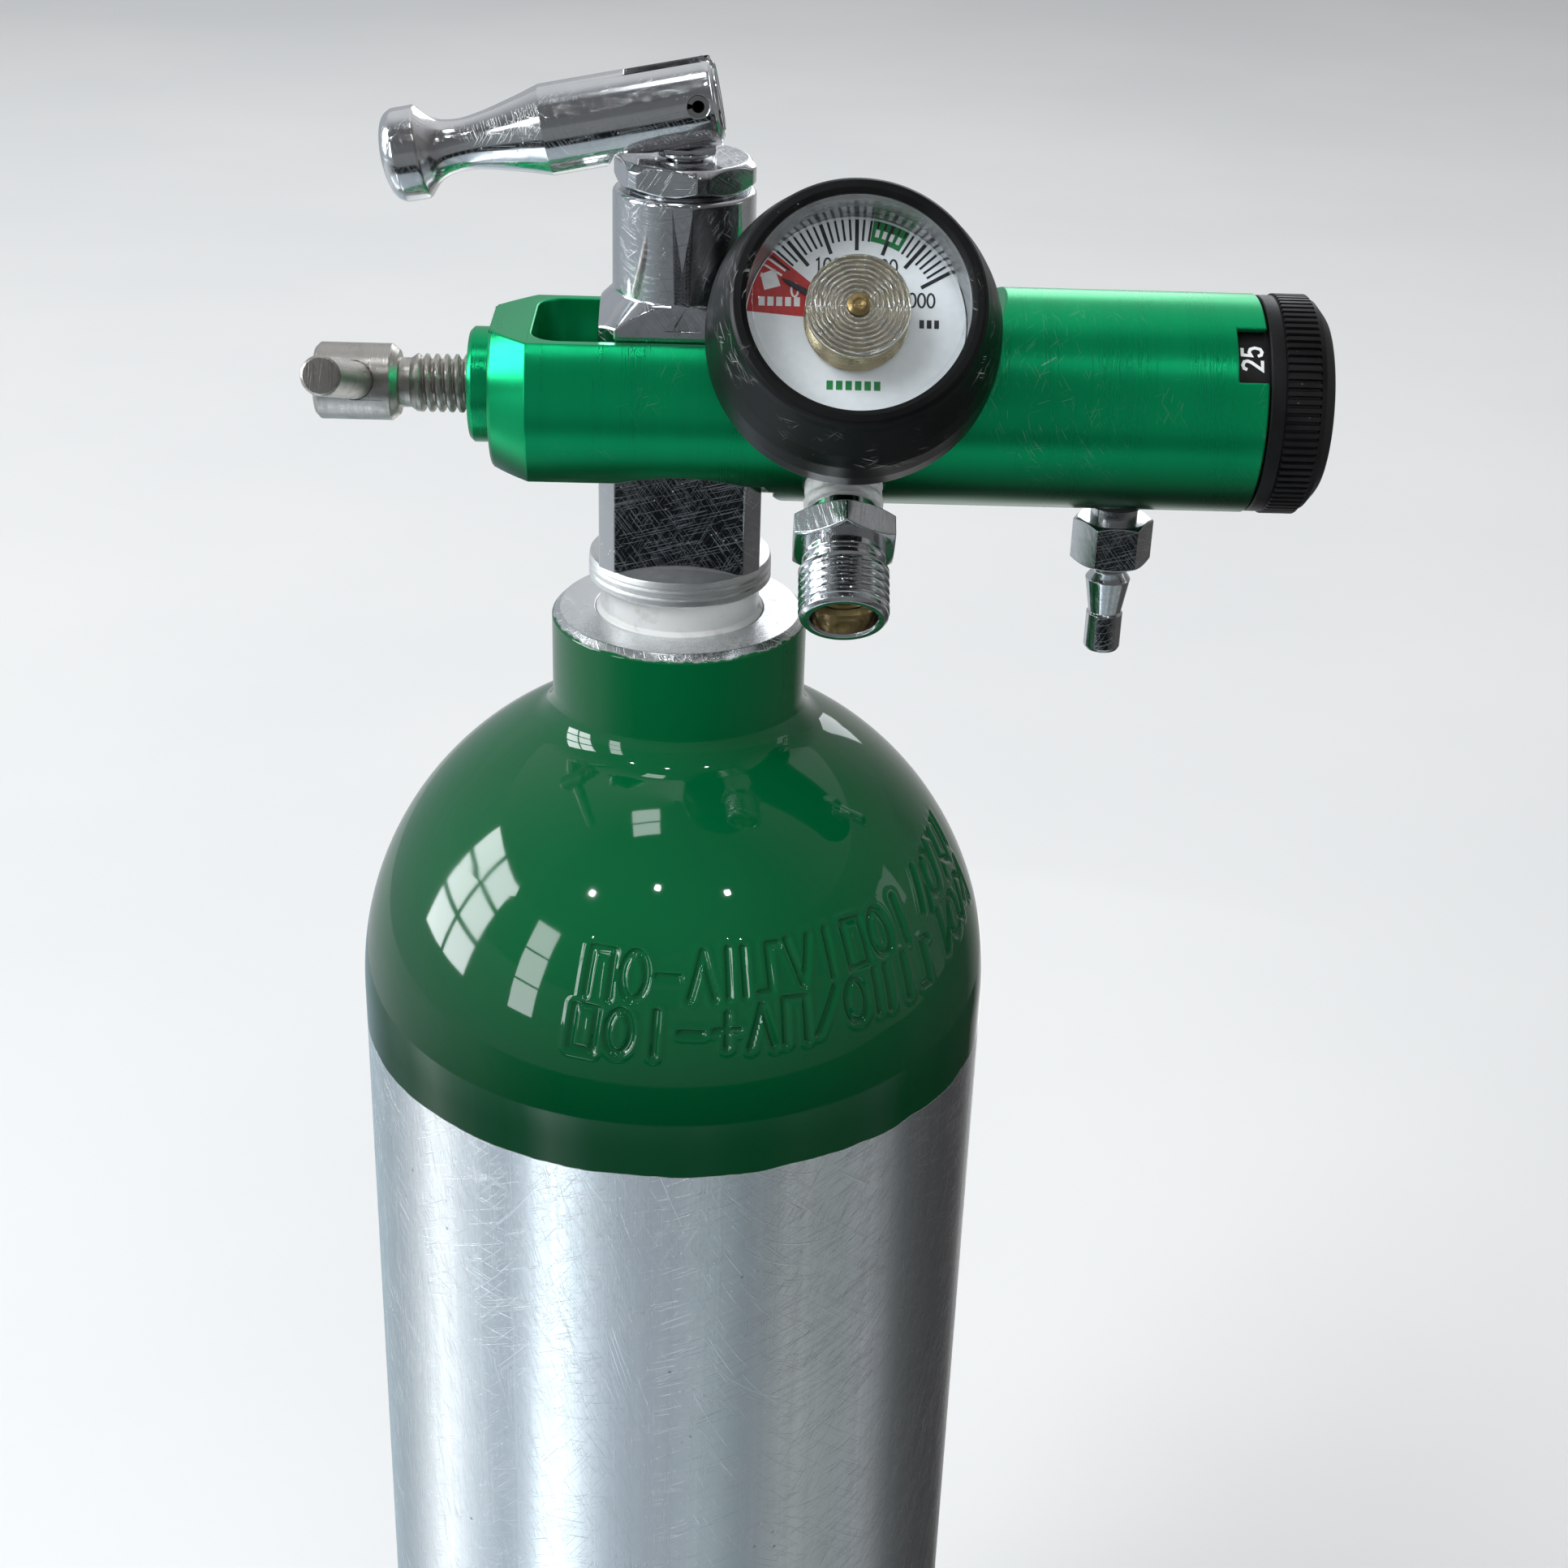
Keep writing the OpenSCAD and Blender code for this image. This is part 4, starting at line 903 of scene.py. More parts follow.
def flat_wedge(right, height, side):
    """What one of the yoke's flats removes. side is 1 above the axis and -1 below it."""
    outline = [(-40, height), (right, height), (right + 3.6, BODY_R + 0.2), (right + 3.6, 30), (-40, 30)]
    return prism("flat", [(x, -side * z) for x, z in outline], -30, 30, ACROSS)


def regulator_body():
    outline = rounded([
        (0, -30.3), (12.7, -30.3, 0.4), (13.3, -29.8, 0.3), (BODY_R, -24.05, 0.5),
        (BODY_R, BODY_END - 0.3, 0.2), (BODY_R - 0.3, BODY_END, 0.2), (0, BODY_END)
    ], 0.3)
    body = revolve("yoke_and_body", outline, ON_REGULATOR, 160)
    corner = 4.5
    left, right, half = -23.5, 14.9, 11.7
    slot = rounded([
        (0, -half), (left, -half, corner), (left, half, corner), (right, half, 0), (right, -half, 0),
        (0, -half)
    ], corner, 8)[:-1]
    gauge_port = rod(7.6, 16.4, 26, ON_GAUGE)
    outlet_port = rod(6.4, 16.2, 26, ON_OUTLET)
    cut(
        body,
        flat_wedge(47.5, 11.1, 1),
        flat_wedge(13.3, 11.7, -1),
        prism("slot", slot, -30, 30, ON_AXIS),
        revolve("bell", [(0, -11.8), (16.6, -11.8), (11, -7.7), (0, -7.7)], ON_AXIS, 96),
        rod(7.2, -31.5, -20, ON_REGULATOR),
        rod(16.1, 85.6, 100, ON_REGULATOR, 96),
        gauge_port,
        outlet_port,
        rod(4.0, -30, -14, placed((BARB_X, 0, AXIS_Z), (0, 0, 1), (1, 0, 0))),
        prism("window", [(86.6, -4.6), (100, -4.6), (100, 4.6), (86.6, 4.6)], 10, 30, WINDOW),
    )
    softened(body, 0.3, 3)
    return settle(body, "housing", GREEN, ["regulator_body"])


def screw_bushing():
    outline = rounded([
        (4.75, -23.5), (4.75, -33.4, 0.2), (5.3, -33.9, 0.2), (8.5, -33.9, 0.3), (9.2, -33.2, 0.3),
        (9.2, -30.3, 0.1), (7.2, -30.3, 0.1), (7.2, -23.5)
    ], 0.2)
    obj = revolve("bushing_turned", outline, ON_REGULATOR, 96, closed=True)
    return settle(obj, "housing", GREEN, ["screw_bushing"])


HUB_LEFT, HUB_RIGHT, THREAD_LEFT = -58.6, -45.2, -42.4
SCREW_R, SCREW_PITCH = 4.65, 1.5875
BAR_UP = math.radians(19)
BAR = placed(
    ((HUB_LEFT + HUB_RIGHT) / 2 * MM, 0, AXIS_Z), (0, -math.cos(BAR_UP), math.sin(BAR_UP)), (1, 0, 0)
)


def tee_screw():
    thread_end = THREAD_LEFT + 15 * SCREW_PITCH
    hub = revolve("tee_hub", rounded([
        (0, HUB_LEFT), (5.3, HUB_LEFT, 0.3), (6.1, HUB_LEFT + 0.8, 0.3), (6.1, HUB_RIGHT - 1.2, 0.3),
        (5.1, HUB_RIGHT, 0.3), (3.95, HUB_RIGHT + 0.1, 0.1), (3.95, HUB_RIGHT + 1.2), (0, HUB_RIGHT + 1.2)
    ], 0.2), ON_REGULATOR, 96)
    cut(hub, rod(3.02, -12, 12, BAR))
    softened(hub, 0.15)
    outline = [(0, HUB_RIGHT + 0.6), (3.95, HUB_RIGHT + 0.6), (3.95, THREAD_LEFT - 1)]
    outline += [(3.95 + (SCREW_R - 3.95) * min(1, t), THREAD_LEFT - 1 + t) for t in (0.5, 1.0)]
    outline += [(SCREW_R, z) for z in spread(THREAD_LEFT + 0.1, thread_end - 0.1, SCREW_PITCH / 10)]
    outline += [(SCREW_R - 0.8, thread_end), (1.9, thread_end), (1.9, -17.3), (0, -17.3)]
    screw = revolve(
        "tee_thread", outline, ON_REGULATOR, 72,
        shape=helix_groove(THREAD_LEFT, thread_end, SCREW_PITCH, 0.85)
    )
    settle(screw, "screw", NICKEL, ["tee_screw"], 34)
    return settle(hub, "screw", NICKEL, ["tee_screw"])


def tee_bar():
    half = 38
    outline = rounded([
        (0, -half), (2.6, -half, 0.2), (3, -half + 0.4, 0.3), (3, half - 0.4, 0.3), (2.6, half, 0.2),
        (0, half)
    ], 0.3)
    obj = revolve("bar_turned", outline, BAR, 64)
    return settle(obj, "screw", NICKEL, ["tee_bar"])


# The flow knob and its numbered drum
DIGITS = {
    "0": [[(0.5 * math.cos(TURN * k / 24), math.sin(TURN * k / 24)) for k in range(25)]],
    "1": [[(-0.3, 0.62), (0.08, 1), (0.08, -1)]],
    "2": [[
        (-0.46, 0.55), (-0.33, 0.88), (0, 1), (0.36, 0.85), (0.46, 0.5), (0.3, 0.1), (-0.5, -1), (0.52, -1)
    ]],
    "3": [[
        (-0.46, 0.66), (-0.3, 0.92), (0.02, 1), (0.38, 0.82), (0.42, 0.46), (0.22, 0.12), (-0.1, 0.05),
        (0.26, -0.02), (0.48, -0.42), (0.38, -0.84), (0, -1), (-0.34, -0.9), (-0.5, -0.58)
    ]],
    "4": [[(0.26, -1), (0.26, 1), (-0.52, -0.4), (0.54, -0.4)]],
    "5": [[
        (0.44, 1), (-0.36, 1), (-0.42, 0.12), (-0.05, 0.3), (0.32, 0.16), (0.48, -0.3), (0.34, -0.84),
        (0, -1), (-0.34, -0.9), (-0.48, -0.56)
    ]],
    "6": [[
        (0.4, 0.82), (0.06, 1), (-0.34, 0.7), (-0.48, -0.2), (-0.36, -0.84), (0, -1), (0.36, -0.84),
        (0.48, -0.36), (0.34, 0.08), (0, 0.2), (-0.36, 0.02), (-0.47, -0.3)
    ]],
    "8": [[
        (0, 0.06), (-0.36, 0.3), (-0.36, 0.76), (0, 1), (0.36, 0.76), (0.36, 0.3), (0, 0.06),
        (-0.46, -0.28), (-0.44, -0.8), (0, -1), (0.44, -0.8), (0.46, -0.28), (0, 0.06)
    ]],
}


def ribbon(line, width):
    """The two edges of a stroke of even width along a line."""
    path = [np.array(p, float) for p in line]
    edges = []
    for k, p in enumerate(path):
        before = p - path[k - 1] if k else path[1] - p
        after = path[k + 1] - p if k + 1 < len(path) else before
        if k == 0:
            before = after
        a, b = before / np.linalg.norm(before), after / np.linalg.norm(after)
        lean = a + b
        lean = lean / (np.linalg.norm(lean) + 1e-9)
        side = np.array([-lean[1], lean[0]])
        reach = width / 2 / max(0.5, float(lean @ a))
        edges.append((p + side * reach, p - side * reach))
    return edges


def lettered(text, height, spacing=0.72):
    """The strokes of a number, centred on the origin."""
    lines = []
    step = height * spacing
    for k, digit in enumerate(text):
        x0 = (k - (len(text) - 1) / 2) * step
        lines += [[(x0 + x * height / 2, y * height / 2) for x, y in line] for line in DIGITS[digit]]
    return lines


def printed(name, lines, width, wrap, where, body, material):
    """Strokes as thin ribbons. wrap turns a point of the flat drawing into a local point."""
    points, faces = [], []
    for line in lines:
        for k, (left, right) in enumerate(ribbon(line, width)):
            points += [wrap(*left), wrap(*right)]
            if k:
                n = len(points)
                faces.append((n - 4, n - 3, n - 1, n - 2))
    obj = piece_from(name, points, faces, where)
    return settle(obj, body, material)


def flow_dial():
    low, high = 85.9, 93.2
    outline = rounded([(14.6, low), (15.8, low, 0.2), (15.8, high, 0.2), (14.6, high)], 0.2)
    drum = revolve("number_drum", outline, ON_REGULATOR, 128, closed=True)
    settle(drum, "knob", DRUM_PLASTIC, ["flow_dial"])
    lift = 15.84
    middle_x = 89.0
    for k, text in enumerate(["25", "0", "1", "2", "3", "4", "5", "6", "8", "10", "12", "15"]):
        turn = -math.radians(30 * k)

        def wrap(x, y, turn=turn):
            # x runs up round the drum and y towards the yoke
            angle = WINDOW_UP + turn + x / lift
            return (-lift * math.sin(angle), -lift * math.cos(angle), middle_x - y)

        printed(
            f"drum_number_{text}", lettered(text, 3.1, 0.74), 0.52, wrap, ON_REGULATOR, "knob", INK_WHITE,
        )


def flow_knob():
    knob_x, knob_end, ribs = BODY_END + 0.3, 102.4, 84
    rib_low, rib_high = 94.2, 99.6

    def ribbed(angle, radius, z):
        if not rib_low < z < rib_high + 0.02 or radius < 17:
            return radius
        phase = (angle / TURN * ribs) % 1
        groove = min(1, max(0, (abs(phase - 0.5) * 2 - 0.52) / 0.22))
        return radius - 0.5 * groove

    outline = rounded([
        (0, knob_x), (17.1, knob_x, 0.1), (17.3, knob_x + 0.2, 0.1), (17.3, rib_low - 0.2, 0.05),
        (17.15, rib_low - 0.1, 0.05)
    ], 0.1)
    outline += [(17.3, rib_low), (17.6, rib_low + 0.15), (17.6, rib_high - 0.2), (17.3, rib_high + 0.01)]
    outline += rounded([
        (17.1, rib_high + 0.05), (16.7, rib_high + 0.9, 0.3), (14.9, knob_end - 0.4, 0.5),
        (14.3, knob_end, 0.5), (9.3, knob_end, 0.2), (9.0, knob_end - 0.3, 0.1), (9.0, knob_end - 1, 0.05),
        (0, knob_end - 1)
    ], 0.3)
    obj = revolve("knob_moulded", outline, ON_REGULATOR, ribs * 8, shape=ribbed)
    settle(obj, "knob", KNOB_PLASTIC, ["flow_knob"], 30)
    cap = revolve("cap_moulded", rounded([
        (0, knob_end - 0.98), (8.85, knob_end - 0.98, 0.05), (8.85, knob_end - 0.2, 0.2),
        (7.6, knob_end - 0.1, 0.1), (7.3, knob_end - 0.35, 0.1), (2.4, knob_end - 0.3, 0.1),
        (0, knob_end - 0.2)
    ], 0.1), ON_REGULATOR, 96)
    return settle(cap, "knob", DRUM_PLASTIC, ["knob_cap"])


# The gauge
DIAL_Z, COIL_Z, COIL_END, GLASS_Z = 33.6, 34.9, 42.0, 44.2
ZERO = math.radians(150)


def gauge_boot():
    outline = rounded([
        (7.6, 20.1), (7.6, 18.2, 0.3), (13.5, 18.2, 1.5), (17.2, 18.9, 1.5), (19.8, 20.3, 1.5),
        (21.5, 22.5, 1.5), (22.25, 25.2, 2), (22.3, 29.0, 2), (21.95, 33.0, 3), (21.1, 36.2, 3),
        (19.95, 39.4, 3), (19.1, 41.8, 1), (18.75, 43.2, 0.6), (18.2, 43.85, 0.5), (17.1, 43.95, 0.3),
        (16.35, 43.6, 0.25), (16.3, 42.95, 0.1), (17.3, 42.9, 0.05), (17.3, 20.1, 0.1), (7.6, 20.1)
    ], 0.5, 4)[:-1]
    obj = revolve("boot_moulded", outline, ON_GAUGE, 144, closed=True)
    return settle(obj, "housing", RUBBER, ["gauge_boot"])


def polar(radius, degrees):
    return (radius * math.cos(math.radians(degrees)), radius * math.sin(math.radians(degrees)))


def dial_print(name, outlines, lift, material):
    """Flat printed areas on the dial, each a convex outline."""
    points, faces = [], []
    for outline in outlines:
        n = len(points)
        points += [(x, y, DIAL_Z + 0.6 + lift) for x, y in outline]
        faces.append(tuple(range(n, n + len(outline))))
    obj = piece_from(name, points, faces, ON_GAUGE)
    return settle(obj, "housing", material)


def arc_band(inner, outer, first, last, step=3.0):
    """Quads that fill a ring's sector, angles in degrees."""
    angles = spread(first, last, step)
    return [
        [polar(inner, a), polar(outer, a), polar(outer, b), polar(inner, b)]
        for a, b in zip(angles, angles[1:])
    ]


def gauge_dial():
    plate = revolve("dial_plate", rounded([
        (1.2, DIAL_Z), (16.4, DIAL_Z, 0.1), (16.4, DIAL_Z + 0.6, 0.1), (1.2, DIAL_Z + 0.6)
    ], 0.1), ON_GAUGE, 128, closed=True)
    settle(plate, "housing", DIAL_WHITE, ["gauge_dial"])
    # the low-pressure zone's outline runs down its arc, along its foot and back up beside the figures
    arc = [polar(16.2, a) for a in spread(139.7, 175, 3.5)]
    hub = (-9.5, 4.0)
    rim = arc + [(-16.0, 1.3), (-7.1, 0.6), (-6.7, 5.9), (-12.5, 10.6)]
    fan = [[hub, a, b] for a, b in zip(rim, rim[1:] + rim[:1])]
    dial_print("dial_low_zone", fan, 0.02, INK_RED)
    dial_print("dial_full_zone", arc_band(12.7, 16.0, 60.5, 81), 0.02, INK_GREEN)
    ticks = []
    for k in range(31):
        angle = 150 - 4 * k
        major = k % 5 == 0
        if k < 2:
            continue
        inner = 11.1 if major else 12.6
        if 60 < angle < 82 and not major:
            inner = 14.9
        half = 0.28 if major else 0.17
        out, across = polar(1, angle), polar(1, angle + 90)
        ticks.append([
            tuple(r * o + w * c for o, c in zip(out, across))
            for r, w in ((inner, half), (15.9, half), (15.9, -half), (inner, -half))
        ])
    dial_print("dial_ticks", ticks, 0.04, INK_BLACK)
    white = [
        [tuple(r * o + w * c for o, c in zip(polar(1, a), polar(1, a + 90)))
         for r, w in ((13.0, 0.16), (15.8, 0.16), (15.8, -0.16), (13.0, -0.16))]
        for a in (144, 148)
    ]
    white += [[(-13.6, 4.6), (-11.2, 5.3), (-12.1, 7.9), (-14.2, 7.0)]]
    # blank bars stand for the words that the real dial carries
    white += [
        [(x, 2.2), (x + 0.9, 2.2), (x + 0.9, 3.6), (x, 3.6)] for x in (-14.4, -13.1, -11.8, -10.5, -9.2)
    ]
    dial_print("dial_low_marks", white, 0.05, INK_WHITE)
    pale = [
        [tuple(r * o + w * c for o, c in zip(polar(1, a), polar(1, a + 90)))
         for r, w in ((13.5, 0.3), (14.7, 0.3), (14.7, -0.3), (13.5, -0.3))]
        for a in (64, 68.5, 73, 77.5)
    ]
    dial_print("dial_full_marks", pale, 0.05, INK_WHITE)

    def flat_at(cx, cy):
        return lambda x, y: (cx + x, cy + y, DIAL_Z + 0.645)

    for text, cx, cy in (("1000", -3.6, 8.7), ("2000", 3.4, 8.7), ("3000", 9.0, 3.6)):
        printed(
            f"dial_number_{text}", lettered(text, 2.1, 0.66), 0.3, flat_at(cx, cy), ON_GAUGE, "housing",
            INK_BLACK
        )
    printed(
        "dial_number_0", lettered("0", 2.0), 0.3, flat_at(-9.1, 4.7), ON_GAUGE, "housing", INK_WHITE,
    )
    low_bars = [
        [(x, -10.4), (x + 0.95, -10.4), (x + 0.95, -9.0), (x, -9.0)]
        for x in (-4.2, -2.8, -1.4, 0.0, 1.4, 2.8)
    ]
    dial_print("dial_foot_marks", low_bars, 0.04, INK_GREEN)
    unit_bars = [[(x, -0.7), (x + 0.7, -0.7), (x + 0.7, 0.6), (x, 0.6)] for x in (9.4, 10.5, 11.6)]
    dial_print("dial_unit_marks", unit_bars, 0.04, INK_BLACK)


def bourdon_coil():
    """The flat tube wound as a helix, and the spiral that closes its front."""
    turns, radius = 9, 7.75
    pitch = (COIL_END - COIL_Z) / turns
    end = COIL_END - 1.0
    outline = [(1.4, COIL_Z), (radius - 0.3, COIL_Z)]
    outline += [(radius, z) for z in spread(COIL_Z + 0.03, end - 0.05, pitch / 9)]
    outline += [(radius - 0.3, end), (1.4, end)]
    side = revolve(
        "coil_wound", outline, ON_GAUGE, 96, closed=True, shape=helix_groove(COIL_Z, end, pitch, 0.5, 0.35)
    )
    settle(side, "housing", COIL_BRASS, ["bourdon_coil"], 30)
    step, first, last, sides = 0.74, 1.4, 7.7, 120
    radii = spread(first, last, step / 10)
    points, faces = [], []
    for r in radii:
        for k in range(sides):
            angle = TURN * k / sides
            phase = (r / step - k / sides) % 1
            groove = max(0.0, 1 - abs(phase - 0.5) / 0.3)
            points.append(
                (r * math.cos(angle), r * math.sin(angle), COIL_END - 0.16 - 0.7 * min(1, 1.5 * groove))
            )
    for i in range(len(radii) - 1):
        for k in range(sides):
            n = (k + 1) % sides
            faces.append((i * sides + k, i * sides + n, (i + 1) * sides + n, (i + 1) * sides + k))
    inner, outer = len(points), len(points) + sides
    for r in (first, last):
        points += [
            (r * math.cos(TURN * k / sides), r * math.sin(TURN * k / sides), end) for k in range(sides)
        ]
    top = (len(radii) - 1) * sides
    for k in range(sides):
        n = (k + 1) % sides
        faces.append((k, inner + k, inner + n, n))
        faces.append((top + k, top + n, outer + n, outer + k))
        faces.append((inner + k, outer + k, outer + n, inner + n))
    front = piece_from("coil_spiral", points, faces, ON_GAUGE)
    settle(front, "housing", COIL_FACE, (), 30)
    hub = revolve("coil_hub", rounded([
        (0, COIL_END - 0.4), (1.75, COIL_END - 0.4, 0.1), (1.7, COIL_END + 0.2, 0.15),
        (1.05, COIL_END + 0.55, 0.2), (0.7, COIL_END + 0.5, 0.1), (0.6, COIL_END + 0.35, 0.1),
        (0, COIL_END + 0.35)
    ], 0.1), ON_GAUGE, 48)
    settle(hub, "housing", BRASS, ["pointer_shaft"])


def gauge_pointer():
    tip, tail = 12.9, 3.0
    outline = [
        (-tail, -0.55), (0, -0.75), (tip - 1.4, -0.33), (tip, 0), (tip - 1.4, 0.33), (0, 0.75),
        (-tail, 0.55)
    ]
    c, s = math.cos(ZERO), math.sin(ZERO)
    turned = [(x * c - y * s, x * s + y * c) for x, y in outline]
    obj = prism("pointer_blade", turned, DIAL_Z + 0.8, DIAL_Z + 1.08, ON_GAUGE)
    return settle(obj, "pointer", INK_BLACK, ["gauge_pointer"])


def gauge_crystal():
    outline = rounded([
        (0, GLASS_Z), (14.6, GLASS_Z, 0.3), (15.5, GLASS_Z - 0.35, 0.3), (15.9, GLASS_Z - 1.2, 0.2),
        (16.35, GLASS_Z - 1.5, 0.1), (16.35, DIAL_Z + 0.75, 0.1), (15.6, DIAL_Z + 0.75, 0.1),
        (14.9, GLASS_Z - 2.3, 0.4), (14.2, GLASS_Z - 1.6, 0.3), (0, GLASS_Z - 1.5)
    ], 0.2)
    obj = revolve("crystal_moulded", outline, ON_GAUGE, 128)
    return settle(obj, "housing", CRYSTAL, ["gauge_crystal"])


# The outlets
OUTLET_R, OUTLET_PITCH, OUTLET_END = 7.14, 1.411, 41.6


def outlet_body():
    thread_low, thread_high = 33.1, 33.1 + 5 * OUTLET_PITCH
    outline = rounded([
        (1.6, 10.1), (4.9, 10.1, 0.2), (4.9, 16.3, 0.05), (5.5, 16.3, 0.1), (5.5, 29, 0.2), (6.6, 29, 0.1),
        (6.6, 31.2, 0.3), (5.9, 31.6, 0.3), (5.9, 32.6, 0.2)
    ], 0.2)
    outline += [(6.5, 32.9), (OUTLET_R, 33.12)]
    outline += [(OUTLET_R, z) for z in spread(thread_low + 0.1, thread_high - 0.02, OUTLET_PITCH / 12)]
    outline += rounded([
        (OUTLET_R - 0.2, thread_high + 0.1), (OUTLET_R - 0.2, 41.0, 0.2), (OUTLET_R - 0.75, OUTLET_END, 0.25),
        (5.5, OUTLET_END, 0.2), (5.2, OUTLET_END - 0.4, 0.1), (5.2, 36.25, 0.1), (4.1, 36.2, 0.05),
        (4.1, 26, 0.1), (1.6, 26)
    ], 0.2)
    turned = revolve(
        "outlet_turned", outline, ON_OUTLET, 96, closed=True,
        shape=lambda a, r, z: (
            helix_groove(thread_low, thread_high, OUTLET_PITCH, 0.78, 0.22)(a, r, z) if r > 7 else r
        )
    )
    settle(turned, "housing", OUTLET_CHROME, ["outlet_body"], 34)
    nut = hex_nut("outlet_hexagon", 15.875, 24.6, 29.4, ON_OUTLET, 30)
    cut(nut, rod(5.45, 20, 34, ON_OUTLET))
    softened(nut, 0.16)
    return settle(nut, "housing", OUTLET_CHROME, ["outlet_body"])


def outlet_tape():
    """Thread tape, wound unevenly where the outlet enters the body."""
    def wound(angle, radius, z):
        if radius < 5.6:
            return radius
        wave = (
            0.10 * math.sin(2 * angle + z * 2.2) + 0.07 * math.sin(5 * angle - z * 3.1)
            + 0.04 * math.sin(11 * angle + z * 7)
        )
        return radius + wave
    outline = [(5.5, 16.6), (6.0, 16.6)] + [
        (6.1 + 0.12 * math.sin(z * 3.4), z) for z in spread(16.9, 21.6, 0.2)
    ]
    outline += [(5.95, 21.9), (5.5, 22)]
    obj = revolve("tape_wound", outline, ON_OUTLET, 120, closed=True, shape=wound)
    return settle(obj, "housing", TAPE, ["outlet_tape"], 60)


def outlet_poppet():
    top = 36.18
    outline = rounded([
        (0, 30), (1.9, 30, 0.2), (1.9, 32.8, 0.1), (4, 32.8, 0.2), (4, top, 0.2), (2.8, top, 0.1),
        (2.75, top + 1.15, 0.25), (1.9, top + 1.15, 0.2), (1.3, top + 0.75, 0.1), (1.1, top + 0.4, 0.1),
        (0, top + 0.4)
    ], 0.15)
    obj = revolve("poppet_turned", outline, ON_OUTLET, 64)
    return settle(obj, "poppet", BRASS, ["outlet_poppet"])


def hose_barb():
    nut = hex_nut("barb_hexagon", 11.7, 10, 17.7, ON_BARB)
    cut(nut, rod(2.5, 8, 20, ON_BARB))
    softened(nut, 0.16)
    settle(nut, "housing", OUTLET_CHROME, ["hose_barb"])
    outline = rounded([
        (1.6, 28), (1.6, -5.7, 0.1), (2.0, -5.95, 0.1), (2.75, -5.9, 0.2), (3.05, -5.3, 0.2),
        (3.05, 0.65, 0.15), (2.75, 0.95, 0.2), (3.68, 6.5, 0.1), (3.75, 6.85, 0.1), (3.6, 7.1, 0.15),
        (2.75, 8.3, 0.3), (2.75, 10.4, 0.1), (3.9, 17.6, 0.1), (3.9, 30, 0.1), (1.6, 30)
    ], 0.15)
    obj = revolve("barb_turned", outline, ON_BARB, 96, closed=True)
    return settle(obj, "housing", OUTLET_CHROME, ["hose_barb"])


for make in (
    bottle, neck_seal, valve_flange, valve_post, gland_nut, valve_stem, toggle_lever, lever_pin,
    regulator_body, screw_bushing, tee_screw, tee_bar, flow_dial, flow_knob,
    gauge_boot, gauge_dial, bourdon_coil, gauge_pointer, gauge_crystal,
    outlet_body, outlet_tape, outlet_poppet, hose_barb,
):
    make()


# The CAD pieces that stay as they are, by finish
KEPT = {
    BRASS: ["debris_tube", "packing_washer", "relief_plug", "relief_disc", "inlet_nipple", "piston",
            "gauge_stem", "orifice_disc", "outlet_retainer", "pointer_shaft"],
    NYLON: ["stem_packing", "valve_seat", "yoke_washer", "pressure_seat"],
    SPRING: ["stem_spring", "piston_spring", "detent_spring", "outlet_spring"],
    STEEL: ["index_pins", "detent_ball", "retaining_ring", "knob_screw"],
    NICKEL: ["clamp_pad"],
    BRONZE: ["inlet_filter"],
    SEAL_RUBBER: ["piston_seals", "core_seal", "barb_seal"],
    ALLOY: ["flow_core", "bearing_plate"],
    CASE_STEEL: ["gauge_case"],
}
for finish, nodes in KEPT.items():
    for node in nodes:
        mesh_object = frame["nodes"][node]
        for place in mesh_object.material_slots:
            place.link = "OBJECT"
            place.material = finish


# Stage: a pale floor, soft light, and cards outside the picture that only mirrors see
def emission(name, strength, colour=(1, 1, 1), attribute=None):
    material = bpy.data.materials.new(name)
    material.use_nodes = True
    tree = material.node_tree
    tree.nodes.remove(tree.nodes["Principled BSDF"])
    glow = tree.nodes.new("ShaderNodeEmission")
    glow.inputs["Color"].default_value = (*colour, 1)
    glow.inputs["Strength"].default_value = strength
    if attribute:
        level = tree.nodes.new("ShaderNodeAttribute")
        level.attribute_name = attribute
        tree.links.new(level.outputs["Color"], glow.inputs["Color"])
    tree.links.new(glow.outputs[0], tree.nodes["Material Output"].inputs["Surface"])
    return material


def only_mirrored(obj):
    """Seen in reflections and nowhere else."""
    obj.visible_camera = False
    obj.visible_diffuse = False
    obj.visible_shadow = False
    obj.visible_transmission = False


def floor():
    half = 5.0
    mesh = bpy.data.meshes.new("floor")
    mesh.from_pydata(
        [(-half, -half, 0), (half, -half, 0), (half, half, 0), (-half, half, 0)], [], [(0, 1, 2, 3)]
    )
    obj = bpy.data.objects.new("floor", mesh)
    bpy.context.scene.collection.objects.link(obj)
    s = Surface("floor_finish")
    s.set(
        Base_Color=s.mix(s.ramp(s.noise(2.5, 4), 0.3, 0.7), (0.86, 0.865, 0.87), (0.9, 0.9, 0.9)),
        Roughness=0.8
    )
    s.bump(s.noise(60, 4), 0.3, 0.2)
    mesh.materials.append(s.material)
    obj.visible_glossy = False


def heading(azimuth, elevation=0.0):
    """The unit vector at an azimuth from the front, positive to the right, and an elevation, in degrees."""
    a, e = math.radians(azimuth), math.radians(elevation)
    return Vector((math.sin(a) * math.cos(e), -math.cos(a) * math.cos(e), math.sin(e)))


MIDST = Vector((0, 0, NECK_TOP))


def level_at(azimuth, levels):
    angles = [row[0] for row in levels]
    return [float(np.interp(azimuth, angles, [row[k] for row in levels])) for k in (1, 2, 3)]


